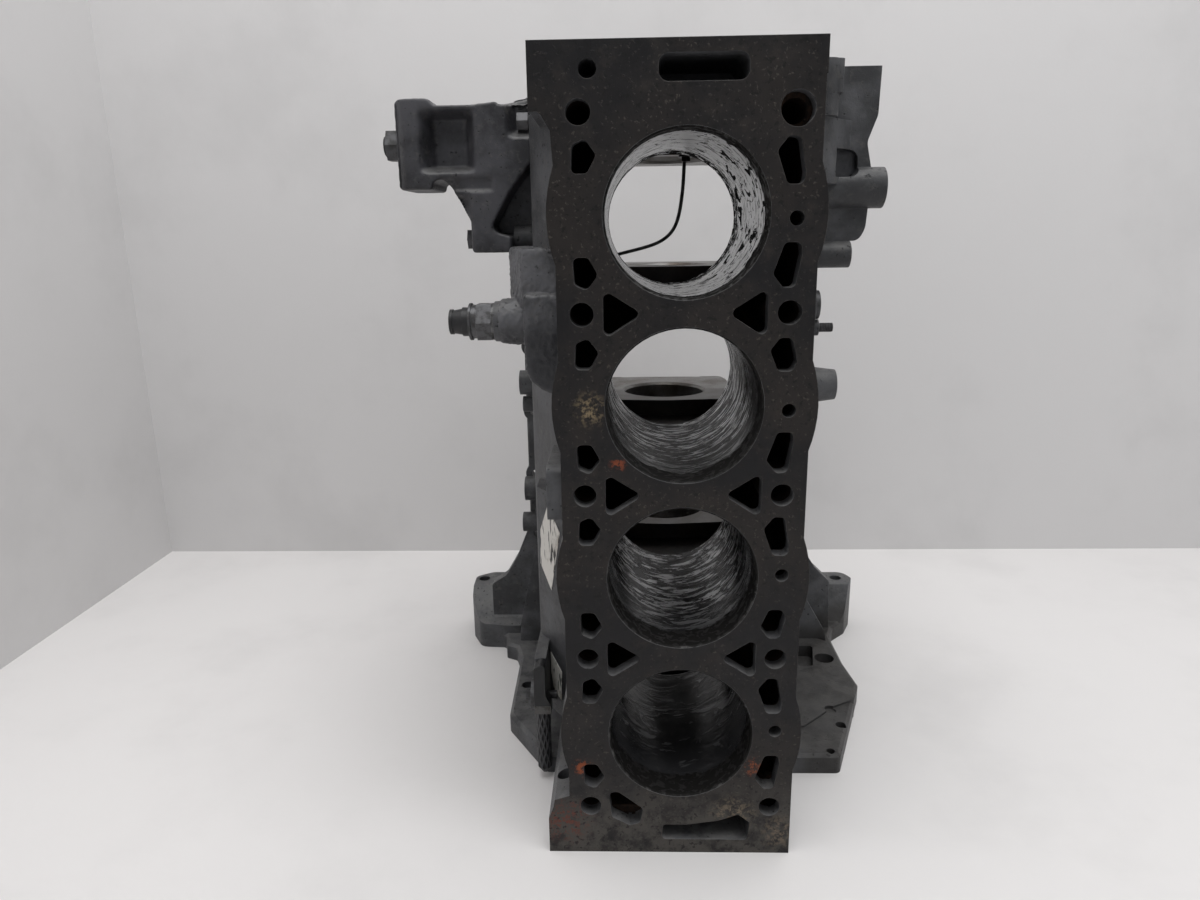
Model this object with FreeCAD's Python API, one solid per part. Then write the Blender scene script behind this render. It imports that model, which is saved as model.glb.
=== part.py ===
import FreeCAD, Part
import math
import os

from FreeCAD import Vector

# Inline four-cylinder engine block, stripped of head, crankshaft and sump.
# Frame, in millimetres: the crankshaft axis is Z through the origin, the gearbox face lies on Z = 0,
# the deck faces -Y and the open crankcase faces +Y.

# Cylinders
BORE_COUNT = 4
BORE_DIAMETER = 85.0
BORE_BRIDGE = 15.8            # metal between two bores at the deck
BORE_LENGTH = 145.0
BORE_CHAMFER = 1.0
DECK_HEIGHT = 235.0           # crank axis to deck
END_LENGTH = 33.4             # outer bolt row to the end face
DRAWN_LENGTH = 470.0          # heights near the timing face keep their distance from it at this length

# Water jacket
CYLINDER_WALL = 5.0
WATER_SPACE = 18.9
JACKET_WALL = 6.0
WAVE_DEPTH = 4.2              # how far the side wall draws in between two cylinders
WAVE_SPAN = 50.0
DECK_THICKNESS = 10.0
JACKET_DEPTH = 115.0          # deck to jacket floor
END_WATER = 15.3              # jacket beyond the end cylinders

# Head bolts and deck openings
HEAD_BOLT_X = 55.0
HEAD_BOLT_RADIUS = 6.4
HEAD_BOLT_DEPTH = 90.0
BOLT_COLUMN_RADIUS = 11.5
HEAD_DOWEL_RADIUS = 8.8
HEAD_DOWEL_DEPTH = 12.0
OIL_FEED_RADIUS = 4.6
VENT_RADIUS = 3.8
VENT_X = 56.6
END_SLOT_LENGTH = 45.0
END_SLOT_WIDTH = 13.2
END_SLOT_DEPTH = 60.0
PASSAGE_ROUND = 3.0

# Deck end flanges
TIMING_FLANGE_X = -80.0
GEARBOX_FLANGE_X = -81.5
END_FLANGE_RIGHT = 68.8
TIMING_FLANGE_LENGTH = 33.0
GEARBOX_FLANGE_LENGTH = 39.0

# Crankcase
SHOULDER_START = 95.0         # deck to the top of the shoulder
SHOULDER_Y = -45.0            # foot of the shoulder
SKIRT_TOP_X = 104.0
SKIRT_FOOT_X = 111.0
SKIRT_WALL = 7.0
ROOF_Y = -108.0
RAIL_Y = 58.0                 # sump face
RAIL_HALF_WIDTH = 120.0
RAIL_THICKNESS = 12.0
RAIL_BOLT_X = 113.5
RAIL_BOLT_RADIUS = 3.4
RAIL_BOLT_COUNT = 8
RAIL_BOSS_RADIUS = 9.0
END_WALL = 18.0

# Main bearings
TUNNEL_RADIUS = 32.0
TUNNEL_CHAMFER = 2.0
SADDLE_WIDTH = 35.0
SADDLE_REACH = 47.0           # axis to the edge of the saddle, towards the deck
WEB_THICKNESS = 12.0
CAP_HALF_WIDTH = 56.0
CAP_REACH = 62.0              # axis to the crown of the cap
CAP_BOLT_X = 44.0
CAP_BOLT_RADIUS = 5.5
CAP_BOLT_DEPTH = 62.0
CAP_DOWEL_WALL = 1.5
CAP_DOWEL_LENGTH = 12.0
CAP_SIDE_GAP = 0.3
CAP_BOLT_CLEARANCE = 0.3
CAP_BOLT_HEAD = 10.0
CAP_BOLT_FLATS = 17.0
CAP_BOLT_FLANGE = 12.0
SEAL_RADIUS = 52.0
SEAL_DEPTH = 12.0

# Oil gallery, a rib along the right shoulder
GALLERY_X = 84.0
GALLERY_Y = -100.0
GALLERY_RADIUS = 6.0
GALLERY_BOSS_RADIUS = 13.0
GALLERY_PLUG_LENGTH = 11.0
OIL_DRILLING_RADIUS = 2.5

# Core plugs
CORE_PLUG_RADIUS = 17.0
CORE_PLUG_DEPTH = 7.0
CORE_PLUG_WALL = 1.6

# Gearbox flange
FLANGE_THICKNESS = 15.0
FLANGE_CHAMFER = 2.5
EAR_HEIGHT = 48.0
GEARBOX_BOLT_RADIUS = 5.5

# Left side
SIDE_DEPTH = 80.0             # deck to the axis of the side bosses
SWITCH_Z = 325.0
SWITCH_BOSS_END = -113.0
BRACKET_FRONT = 100.0         # deck to the front face of the bracket
BRACKET_DEPTH = 45.0
BRACKET_ARM = 94.0            # length of the arm beyond the block
BRACKET_POCKET = 18.0
BRACKET_BOLT_RADIUS = 4.0
BRACKET_BOLT_Z = 445.5
BRACKET_BOLT_INSET = 6.0      # bracket face to the nearer bolt
BRACKET_PAD = 11.0
BRACKET_STUD_Z = 434.0
LUG_Z = 375.0
LUG_END_X = -104.0
LUG_RADIUS = 8.5
SWITCH_THREAD_RADIUS = 6.0

# Right side
HOUSING_FRONT = 85.0          # deck to the front face of the accessory housing
HOUSING_DEPTH = 75.0
HOUSING_X = 119.0
STEP_Z = 440.0                # foot of the step above the housing
END_BOSS_X = 124.0
END_BOSS_Z = 402.0
END_BOSS_RADIUS = 12.0
ROUND_PLUG_Z = 333.0
ROUND_PLUG_SEAT_X = 84.5
ROUND_PLUG_RADIUS = 6.5
ROUND_PLUG_HEAD = 8.8
STUD_Z = 319.0
STUD_SEAT_X = 88.0
STUD_RADIUS = 2.6
STUD_BOSS_RADIUS = 5.0

# Lower left sensor
SENSOR_Z = 57.0
SENSOR_DEPTH = 90.0
SENSOR_SEAT_X = -96.5
SENSOR_PAD = 10.0              # pedestal face to the sensor axis
SLEEVE_RADIUS = 5.0
SENSOR_BOLT_RADIUS = 3.0

# Ledge on the left shoulder
LEDGE_TOP_X = -72.0
LEDGE_TOP = 85.0              # deck to the upper edge of the sloping face
LEDGE_X = -95.0
LEDGE_FOOT = 117.0            # deck to the lower edge of the sloping face

# Paper labels
LABEL_THICKNESS = 0.3

# Metal strip that crosses the bay seen through the first cylinder
STRIP_THICKNESS = 1.2
STRIP_WIDTH = 5.0
STRIP_X = 13.0
STRIP_SCREW_RADIUS = 2.0

bore_radius = BORE_DIAMETER / 2
bore_pitch = BORE_DIAMETER + BORE_BRIDGE
block_length = BORE_COUNT * bore_pitch + 2 * END_LENGTH
middle_z = block_length / 2
deck_y = -DECK_HEIGHT
bore_z = [middle_z + (index - (BORE_COUNT - 1) / 2) * bore_pitch for index in range(BORE_COUNT)]
row_z = [middle_z + (index - BORE_COUNT / 2) * bore_pitch for index in range(BORE_COUNT + 1)]
crest_x = bore_radius + CYLINDER_WALL + WATER_SPACE + JACKET_WALL
side_x = crest_x - WAVE_DEPTH
shoulder_top_y = deck_y + SHOULDER_START
side_y = deck_y + SIDE_DEPTH
inner_x = side_x - JACKET_WALL
lug_y = deck_y + BRACKET_FRONT + BRACKET_DEPTH / 2
sensor_y = deck_y + SENSOR_DEPTH
end_boss_y = deck_y + HOUSING_FRONT + 2
ledge_top_y = deck_y + LEDGE_TOP
ledge_foot_y = deck_y + LEDGE_FOOT
lift = block_length - DRAWN_LENGTH

X = Vector(1, 0, 0)
Y = Vector(0, 1, 0)
Z = Vector(0, 0, 1)


# Helpers

def on_xz(u, v):
    return Vector(u, 0, v)


def on_xy(u, v):
    return Vector(u, v, 0)


def on_yz(u, v):
    return Vector(0, u, v)


def outline(corners, place, radius=0.0):
    """Closed wire through the corners, each given as (u, v) or (u, v, corner radius)."""
    count = len(corners)
    points = [place(c[0], c[1]) for c in corners]
    radii = [c[2] if len(c) > 2 else radius for c in corners]
    starts = []
    ends = []
    arcs = []
    for i in range(count):
        here = points[i]
        back = points[i - 1] - here
        ahead = points[(i + 1) % count] - here
        half_angle = back.getAngle(ahead) / 2
        if radii[i] <= 0 or abs(half_angle - math.pi / 2) < 0.01:
            starts.append(here)
            ends.append(here)
            arcs.append(None)
            continue
        reach = min(radii[i] / math.tan(half_angle), 0.48 * back.Length, 0.48 * ahead.Length)
        true_radius = reach * math.tan(half_angle)
        back.normalize()
        ahead.normalize()
        inward = back + ahead
        inward.normalize()
        middle = here + inward * (true_radius / math.sin(half_angle) - true_radius)
        starts.append(here + back * reach)
        ends.append(here + ahead * reach)
        arcs.append(Part.Arc(starts[i], middle, ends[i]).toShape())
    edges = []
    for i in range(count):
        if arcs[i]:
            edges.append(arcs[i])
        following = starts[(i + 1) % count]
        if (following - ends[i]).Length > 1e-6:
            edges.append(Part.makeLine(ends[i], following))
    return Part.Wire(edges)


def prism_y(corners, y_from, y_to, radius=0.0):
    face = Part.Face(outline(corners, on_xz, radius))
    face.translate(Y * y_from)
    return face.extrude(Y * (y_to - y_from))


def prism_z(corners, z_from, z_to, radius=0.0):
    face = Part.Face(outline(corners, on_xy, radius))
    face.translate(Z * z_from)
    return face.extrude(Z * (z_to - z_from))


def prism_x(corners, x_from, x_to, radius=0.0):
    face = Part.Face(outline(corners, on_yz, radius))
    face.translate(X * x_from)
    return face.extrude(X * (x_to - x_from))


def box(x_from, x_to, y_from, y_to, z_from, z_to):
    return Part.makeBox(x_to - x_from, y_to - y_from, z_to - z_from, Vector(x_from, y_from, z_from))


def rod(radius, length, base, direction):
    return Part.makeCylinder(radius, length, base, direction)


def taper(radius_from, radius_to, length, base, direction):
    return Part.makeCone(radius_from, radius_to, length, base, direction)


def ring(outer, inner, length, base, direction):
    return rod(outer, length, base, direction).cut(rod(inner, length, base, direction))


def hexagon(across_flats, length, base, direction):
    """Hexagonal prism; its first corner lies square to the direction."""
    sideways = direction.cross(X if abs(direction.x) < 0.5 else Z)
    sideways.normalize()
    other = direction.cross(sideways)
    radius = across_flats / math.sqrt(3)
    corners = []
    for index in range(7):
        angle = index * math.pi / 3
        corners.append(base + sideways * (radius * math.cos(angle)) + other * (radius * math.sin(angle)))
    return Part.Face(Part.makePolygon(corners)).extrude(direction * length)


def hex_bolt(across_flats, head, flange, shank_radius, shank_length, seat, direction):
    """Flanged hexagon bolt; the direction runs from the seat under the head along the shank."""
    bolt = hexagon(across_flats, head, seat - direction * head, direction)
    if flange > 0:
        bolt = bolt.fuse(rod(flange, head * 0.22, seat - direction * head * 0.22, direction))
    return bolt.fuse(rod(shank_radius, shank_length, seat, direction))


def fuse(shapes):
    return shapes[0].multiFuse(shapes[1:]).removeSplitter()


def mirrored(corners):
    return [(-c[0],) + tuple(c[1:]) for c in corners]


def raised(shapes):
    """Shapes drawn near the timing face of a block of the drawn length, moved to this block's face."""
    for shape in shapes:
        shape.translate(Z * lift)
    return shapes


def save(name, shape):
    os.makedirs("parts", exist_ok=True)
    shape.exportStep("parts/" + name + ".step")


def group(solids):
    return Part.makeCompound(solids)


# Cylinder block: upper body

def deck_outline():
    """Deck edge: straight end flanges joined by side walls that swell out round each cylinder."""
    left = -side_x
    right = side_x
    top = block_length
    lower_left = [
        Vector(right, 0, 0),
        Vector(GEARBOX_FLANGE_X, 0, 0),
        Vector(GEARBOX_FLANGE_X, 0, 24),
        Vector(GEARBOX_FLANGE_X + 3, 0, 32),
        Vector(GEARBOX_FLANGE_X + 4, 0, GEARBOX_FLANGE_LENGTH - 1.5),
        Vector(left, 0, GEARBOX_FLANGE_LENGTH + 1.5),
    ]
    upper_left = [
        Vector(left - 1, 0, top - TIMING_FLANGE_LENGTH - 9),
        Vector(left - 5.5, 0, top - TIMING_FLANGE_LENGTH - 1.5),
        Vector(TIMING_FLANGE_X + 0.5, 0, top - TIMING_FLANGE_LENGTH + 3),
        Vector(TIMING_FLANGE_X, 0, top),
        Vector(right, 0, top),
    ]
    swells = []
    for z in bore_z:
        foot = Vector(left, 0, z - WAVE_SPAN / 2)
        crest = Vector(left - WAVE_DEPTH, 0, z)
        head = Vector(left, 0, z + WAVE_SPAN / 2)
        swells.append((foot, crest, head))
    edges = []
    here = lower_left[0]
    for point in lower_left[1:]:
        edges.append(Part.makeLine(here, point))
        here = point
    for foot, crest, head in swells:
        edges.append(Part.makeLine(here, foot))
        edges.append(Part.Arc(foot, crest, head).toShape())
        here = head
    for point in upper_left:
        edges.append(Part.makeLine(here, point))
        here = point
    for swell in reversed(swells):
        foot, crest, head = [Vector(-point.x, 0, point.z) for point in swell]
        edges.append(Part.makeLine(here, head))
        edges.append(Part.Arc(head, crest, foot).toShape())
        here = foot
    edges.append(Part.makeLine(here, lower_left[0]))
    return Part.Wire(edges)


def upper_body():
    face = Part.Face(deck_outline())
    face.translate(Y * deck_y)
    return face.extrude(Y * (SHOULDER_START + 20))


def crankcase_profile():
    half = [
        (RAIL_HALF_WIDTH, RAIL_Y, 2),
        (RAIL_HALF_WIDTH, RAIL_Y - RAIL_THICKNESS, 2),
        (SKIRT_FOOT_X, RAIL_Y - RAIL_THICKNESS, 4),
        (SKIRT_TOP_X, SHOULDER_Y, 14),
        (side_x, shoulder_top_y, 10),
    ]
    return half + [(-c[0], c[1], c[2]) for c in reversed(half)]


def crankcase():
    parts = [prism_z(crankcase_profile(), 0, block_length)]
    for side in (-1, 1):
        for z in rail_bolt_z():
            base = Vector(side * RAIL_BOLT_X, RAIL_Y - RAIL_THICKNESS, z)
            parts.append(rod(RAIL_BOSS_RADIUS, RAIL_THICKNESS, base, Y))
    return parts


def rail_bolt_z():
    first = 52.0
    step = (block_length - 14.0 - first) / (RAIL_BOLT_COUNT - 1)
    return [first + index * step for index in range(RAIL_BOLT_COUNT)]


# Cylinder block: ends

def timing_face():
    """Plate across the timing end, wider than the crankcase where covers bolt to it."""
    left = [
        (-RAIL_HALF_WIDTH, RAIL_Y),
        (-RAIL_HALF_WIDTH, 20, 10),
        (-SKIRT_TOP_X - 6, SHOULDER_Y, 20),
        (TIMING_FLANGE_X, deck_y + 165, 12),
        (TIMING_FLANGE_X, deck_y),
    ]
    right = [
        (END_FLANGE_RIGHT, deck_y),
        (END_FLANGE_RIGHT, deck_y + 57, 3),
        (92, deck_y + 60, 4),
        (92, deck_y + HOUSING_FRONT, 3),
        (HOUSING_X, deck_y + HOUSING_FRONT, 6),
        (HOUSING_X, deck_y + HOUSING_FRONT + HOUSING_DEPTH, 12),
        (RAIL_HALF_WIDTH - 4, 10, 20),
        (RAIL_HALF_WIDTH, RAIL_Y),
    ]
    plate = prism_z(left + right, block_length - END_WALL, block_length)
    frame = box(TIMING_FLANGE_X, -side_x + 6, deck_y, deck_y + 165, block_length - TIMING_FLANGE_LENGTH,
                block_length)
    return [plate, frame]


def flange_outline():
    """Edge of the gearbox flange, from the left of the deck round to the right."""
    left = [
        (-75, deck_y + 80),
        (-91, deck_y + 80, 5),
        (-124, deck_y + 132, 10),
        (-126, -12, 8),
        (-132, 8, 5),
        (-142, 13, 4),
        (-145, 33, 5),
        (-169, 35, 10),
        (-180, 58, 12),
        (-181, 90, 8),
        (-166, 101, 10),
        (-150, 101, 10),
        (-124, RAIL_Y, 12),
    ]
    right = [
        (124, RAIL_Y, 12),
        (150, 99, 10),
        (182, 99, 10),
        (188, 84, 8),
        (177, 61, 10),
        (162, 46, 8),
        (155, 28, 10),
        (155, -20, 30),
        (158.5, -57, 8),
        (120, deck_y + 80, 5),
        (72, deck_y + 80),
    ]
    return left + right


def gearbox_flange():
    plate = prism_z(flange_outline(), 0, FLANGE_THICKNESS)
    rim = [edge for edge in plate.Edges if edge.BoundBox.ZMin > FLANGE_THICKNESS - 0.01]
    parts = [plate.makeChamfer(FLANGE_CHAMFER, rim)]
    raised = [(70, -125), (101, -121), (116, -107, 3), (128, -95, 3), (149, -83, 4), (154, -58, 8),
              (149, -10, 20), (149, 14, 8), (100, 40), (70, 40)]
    parts.append(prism_z(raised, 0, FLANGE_THICKNESS + 2))
    left_ear = [(-141, 22), (-145, 33, 5), (-169, 35, 10), (-180, 58, 12), (-181, 90, 8), (-166, 101, 10),
                (-150, 101, 10), (-118, 50)]
    right_ear = [(116, 44), (158, 46, 6), (177, 61, 10), (188, 84, 8), (182, 99, 10), (150, 99, 10),
                 (RAIL_HALF_WIDTH + 2, RAIL_Y - 3), (RAIL_HALF_WIDTH - 6, RAIL_Y - 3)]
    left_slope = [(0, 0), (33, 0), (33, 23, 2), (42, 27, 4), (68, EAR_HEIGHT, 3), (102, EAR_HEIGHT), (102, 0)]
    right_slope = [(0, 0), (45, 0), (56, 12, 4), (73, EAR_HEIGHT, 3), (102, EAR_HEIGHT), (102, 0)]
    parts.append(prism_z(left_ear, 0, EAR_HEIGHT).common(prism_x(left_slope, -200, -100)))
    parts.append(prism_z(right_ear, 0, EAR_HEIGHT).common(prism_x(right_slope, 100, 200)))
    left_rib = [(-100, 0), (-131, 0), (-129, 32, 6), (-119, 78, 14), (-107, 130), (-100, 130)]
    right_rib = [(100, 0), (152, 0), (148, 24, 6), (131, 54, 8), (128, 84, 10), (108, 130), (100, 130)]
    for rib in (left_rib, right_rib):
        parts.append(prism_y(rib, 18, 28))
    left_sweep = [(-100, 12), (-158, 12), (-158, 60, 4), (-144, 69, 10), (-133, 88, 14), (-112, 140),
                  (-100, 140)]
    right_sweep = [(100, 12), (158, 12), (156, 62, 3), (142, 76, 6), (128, 98, 10), (112, 130), (100, 130)]
    for sweep in (left_sweep, right_sweep):
        parts.append(prism_y(sweep, RAIL_Y - 14, RAIL_Y - 2))
    return parts


# Cylinder block: sides

def ledge_profile():
    """Ledge above the left shoulder; its sloping face carries the labels."""
    return [(-60, ledge_top_y), (LEDGE_TOP_X, ledge_top_y), (LEDGE_X, ledge_foot_y),
            (LEDGE_X, ledge_foot_y + 20), (-60, ledge_foot_y + 20)]


def left_side():
    """Castings on the left: the fairing beside the bracket, the switch boss, the lug and plain bosses."""
    parts = []
    fairing = [(-60, deck_y + 42), (-70, deck_y + 42, 4), (-88, deck_y + 76, 10), (-88, deck_y + 170),
               (-60, deck_y + 170)]
    parts.append(prism_z(fairing, 368, DRAWN_LENGTH - 25))
    rough = [(-60, deck_y + 58), (-92, deck_y + 62, 8), (-103, deck_y + 88, 12), (-103, deck_y + 160, 12),
             (-60, deck_y + 175)]
    parts.append(prism_z(rough, 335, 370))
    pad = [(-60, 342), (-92, 342), (-91, 290, 18), (-70, 281), (-60, 281)]
    parts.append(prism_y(pad, deck_y + 55, deck_y + 150))
    root = Vector(-65, side_y, SWITCH_Z)
    parts.append(taper(15.5, 12.5, -65 - SWITCH_BOSS_END, root, -X))
    parts.append(rod(LUG_RADIUS, 34, Vector(LUG_END_X, lug_y, LUG_Z), X))
    raised(parts)
    for z, reach, radius in ((260, 118, 10.0), (242, 116, 6.5)):
        parts.append(rod(radius, reach - 90, Vector(-reach, SHOULDER_Y + 40, z), X))
    for z, reach, radius in ((154, 123, 11.0), (122, 126, 9.0)):
        parts.append(rod(radius, reach - 90, Vector(-reach, RAIL_Y - 14, z), X))
    platform = [(deck_y + 6, 218), (deck_y + 62, 218), (deck_y + 62, 250), (deck_y + 6, 250)]
    parts.append(prism_x(platform, -side_x - 9, -side_x + 8, 4))
    parts.append(prism_z(ledge_profile(), 36, 205))
    parts.append(box(SENSOR_SEAT_X, LEDGE_X + 6.5, sensor_y - SENSOR_PAD, ledge_foot_y + 6, 44, 91))
    return parts


def right_side():
    """Castings on the right: the accessory housing, its step, plain bosses and the gallery rib."""
    top = DRAWN_LENGTH
    front = deck_y + HOUSING_FRONT
    back = front + HOUSING_DEPTH
    body = [(60, top), (HOUSING_X, top), (HOUSING_X - 0.5, top - 27, 10), (HOUSING_X - 6, top - 42, 8),
            (HOUSING_X - 2, top - 60, 10), (HOUSING_X - 4, top - 92, 14), (HOUSING_X - 8, 371, 6), (60, 371)]
    parts = [prism_y(body, front, back)]
    step = [(60, deck_y + 57), (90, deck_y + 57, 8), (90, back, 4), (60, back)]
    parts.append(prism_z(step, STEP_Z, top))
    wedge = [(60, deck_y + 57), (78, deck_y + 57, 6), (104, front + 1), (104, front + 6), (60, front + 6)]
    parts.append(prism_z(wedge, 404, STEP_Z))
    parts.append(rod(END_BOSS_RADIUS, END_BOSS_X - 60, Vector(60, end_boss_y, END_BOSS_Z), X))
    parts.append(rod(8, 46, Vector(60, side_y + 6, 363), X))
    parts.append(rod(11.5, ROUND_PLUG_SEAT_X - 60, Vector(60, side_y, ROUND_PLUG_Z), X))
    parts.append(rod(STUD_BOSS_RADIUS, STUD_SEAT_X - 60, Vector(60, side_y, STUD_Z), X))
    parts.append(taper(15, 9.5, 40, Vector(60, side_y, 283), X))
    raised(parts)
    parts.append(rod(GALLERY_BOSS_RADIUS, block_length, Vector(GALLERY_X, GALLERY_Y, 0), Z))
    return parts


def side_cuts():
    """Openings and slots in the castings on the two sides."""
    front = deck_y + HOUSING_FRONT
    cuts = []
    cuts.append(box(91.5, 94.5, deck_y + 50, front + 20, STEP_Z, DRAWN_LENGTH + 1))
    window = [(86, 408), (108, 408), (108, 424), (86, 424)]
    cuts.append(prism_y(window, front - 12, front + 30, 6))
    cuts.append(rod(6.6, 24, Vector(END_BOSS_X - 20, end_boss_y, END_BOSS_Z), X))
    cuts.append(rod(4.2, 20, Vector(side_x + 22, side_y + 6, 363), X))
    cuts.append(rod(5, 20, Vector(85, side_y, 283), X))
    cuts.append(rod(SWITCH_THREAD_RADIUS, 26, Vector(SWITCH_BOSS_END - 1, side_y, SWITCH_Z), X))
    cuts.append(rod(STUD_RADIUS, 20, Vector(STUD_SEAT_X + 1, side_y, STUD_Z), -X))
    cuts.append(rod(ROUND_PLUG_RADIUS, 9, Vector(ROUND_PLUG_SEAT_X + 1, side_y, ROUND_PLUG_Z), -X))
    for y in bracket_bolt_y():
        seat = Vector(TIMING_FLANGE_X - 1, y, BRACKET_BOLT_Z)
        cuts.append(rod(BRACKET_BOLT_RADIUS, 25, seat, X))
    cuts.append(rod(BRACKET_BOLT_RADIUS, 30, Vector(LUG_END_X - 1, lug_y, LUG_Z), X))
    seat = [(TIMING_FLANGE_X, DRAWN_LENGTH + 1), (TIMING_FLANGE_X, 437), (-89, 420.5), (-103, 404.5),
            (-103, LUG_Z + LUG_RADIUS + 0.5), (-140, LUG_Z + LUG_RADIUS + 0.5), (-140, DRAWN_LENGTH + 1)]
    cuts.append(prism_y(seat, deck_y + BRACKET_FRONT - 3, deck_y + BRACKET_FRONT + BRACKET_DEPTH + 1))
    raised(cuts)
    cuts.append(rod(SENSOR_BOLT_RADIUS, 18, Vector(SENSOR_SEAT_X - 1, sensor_y, SENSOR_Z), X))
    pocket = [(116, 5), (134.5, 5), (127, -32), (114, -32)]
    cuts.append(prism_z(pocket, 6, FLANGE_THICKNESS + 3, 4))
    cuts.append(rod(STRIP_SCREW_RADIUS, 9, strip_hole(), Z))
    cuts.append(rod(4.5, 6, Vector(126, -98, FLANGE_THICKNESS - 1), Z))
    return cuts


# Cylinder block: openings

def bores():
    cuts = []
    for z in bore_z:
        top = Vector(0, deck_y - 1, z)
        cuts.append(rod(bore_radius, BORE_LENGTH + 1, top, Y))
        cuts.append(taper(bore_radius + BORE_CHAMFER, bore_radius, BORE_CHAMFER, Vector(0, deck_y, z), Y))
    return cuts


def water_jacket():
    """Cavity round the cylinders, with a column left round every head bolt hole."""
    low = bore_z[0] - bore_radius - END_WATER
    high = bore_z[-1] + bore_radius + END_WATER
    top_y = deck_y + DECK_THICKNESS
    floor_y = deck_y + JACKET_DEPTH
    cavity = box(-inner_x, inner_x, top_y, floor_y, low, high)
    islands = []
    for z in bore_z:
        islands.append(rod(bore_radius + CYLINDER_WALL, JACKET_DEPTH, Vector(0, deck_y, z), Y))
    for z in row_z:
        islands.append(box(-20, 20, deck_y, floor_y, z - 6, z + 6))
        for side in (-1, 1):
            islands.append(rod(BOLT_COLUMN_RADIUS, JACKET_DEPTH, Vector(side * HEAD_BOLT_X, deck_y, z), Y))
    return cavity.cut(islands[0].multiFuse(islands[1:]))


def passage(corners, z_row, up, side):
    """Coolant hole in the deck, drawn for the right side above a bolt row."""
    placed = [(side * u, z_row + up * v) for u, v in corners]
    if side * up < 0:
        placed.reverse()
    return prism_y(placed, deck_y - 1, deck_y + DECK_THICKNESS + 1, PASSAGE_ROUND)


def deck_passages():
    x = HEAD_BOLT_X
    small = [(x - 9, 20.5), (x - 3, 12.5), (x + 3.5, 15.5), (x + 4.3, 29.5), (x - 4, 29.5)]
    long_one = [(x - 9.7, 20), (x - 4, 12.8), (x + 2, 13.2), (x + 5, 30), (x + 4.3, 36), (x - 4, 36)]
    short_one = [(x - 9.7, 20), (x - 4.5, 13.2), (x + 2, 13.5), (x + 5, 26), (x + 2.5, 31.3), (x - 5, 31.3)]
    triangle = [(x - 11.5, 13.2), (x - 32.5, 0), (x - 11.5, -13.6)]
    cuts = []
    last = len(row_z) - 1
    for index, z in enumerate(row_z):
        for up in (-1, 1):
            if (index == 0 and up < 0) or (index == last and up > 0):
                continue
            cuts.append(passage(small, z, up, -1))
            faces_middle = (index == 1 and up > 0) or (index == last - 1 and up < 0)
            cuts.append(passage(short_one if faces_middle else long_one, z, up, 1))
        if 0 < index < last:
            cuts.append(passage(triangle, z, 1, -1))
            cuts.append(passage(triangle, z, 1, 1))
    for z in bore_z:
        drift = 2.4 if z < middle_z else -2.4
        base = Vector(VENT_X, deck_y - 1, z + drift)
        cuts.append(rod(VENT_RADIUS, DECK_THICKNESS + 2, base, Y))
    return cuts


def deck_holes():
    cuts = []
    for z in row_z:
        for side in (-1, 1):
            mouth = Vector(side * HEAD_BOLT_X, deck_y - 1, z)
            cuts.append(rod(HEAD_BOLT_RADIUS, HEAD_BOLT_DEPTH + 1, mouth, Y))
    cuts.append(rod(HEAD_DOWEL_RADIUS, HEAD_DOWEL_DEPTH + 1, Vector(HEAD_BOLT_X, deck_y - 1, row_z[-1]), Y))
    cuts.append(rod(OIL_FEED_RADIUS, 45, Vector(-50, deck_y - 1, block_length - 13.4), Y))
    slot_z = block_length - 13.4
    slot = [(-14.5, slot_z - END_SLOT_WIDTH / 2), (END_SLOT_LENGTH - 14.5, slot_z - END_SLOT_WIDTH / 2),
            (END_SLOT_LENGTH - 14.5, slot_z + END_SLOT_WIDTH / 2), (-14.5, slot_z + END_SLOT_WIDTH / 2)]
    cuts.append(prism_y(slot, deck_y - 1, deck_y + END_SLOT_DEPTH, 5))
    wedge = [(-11, 9.7), (42, 9.5), (43.5, 22), (36, 27.8), (24, 23.2), (4, 20.2), (-10.5, 20.2)]
    cuts.append(prism_y(wedge, deck_y - 1, deck_y + END_SLOT_DEPTH, 2.5))
    corner = [(-42, row_z[0] - 8), (-31, row_z[0] - 13.8), (-24.5, row_z[0] - 12), (-22.5, row_z[0] - 2),
              (-38, row_z[0] + 10), (-43.8, row_z[0] + 9.5)]
    cuts.append(prism_y(corner, deck_y - 1, deck_y + DECK_THICKNESS + 1, 3))
    return cuts


def crank_tunnel():
    """Bearing tunnel with a chamfer at both faces of every saddle, and the rear seal bore."""
    cuts = [rod(TUNNEL_RADIUS, block_length + 2, Vector(0, 0, -1), Z)]
    for low, high in saddle_faces():
        wide = TUNNEL_RADIUS + TUNNEL_CHAMFER
        cuts.append(taper(wide, TUNNEL_RADIUS, TUNNEL_CHAMFER, Vector(0, 0, low), Z))
        cuts.append(taper(TUNNEL_RADIUS, wide, TUNNEL_CHAMFER, Vector(0, 0, high - TUNNEL_CHAMFER), Z))
    cuts.append(rod(SEAL_RADIUS, SEAL_DEPTH + 1, Vector(0, 0, -1), Z))
    return cuts


def saddle_faces():
    """Lower and upper face of each main bearing; the end ones reach the end faces."""
    faces = []
    last = len(row_z) - 1
    for index, z in enumerate(row_z):
        if index == 0:
            faces.append((0.0, SADDLE_WIDTH + 3.5))
        elif index == last:
            faces.append((block_length - SADDLE_WIDTH - 3.5, block_length))
        else:
            faces.append((z - SADDLE_WIDTH / 2, z + SADDLE_WIDTH / 2))
    return faces


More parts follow.
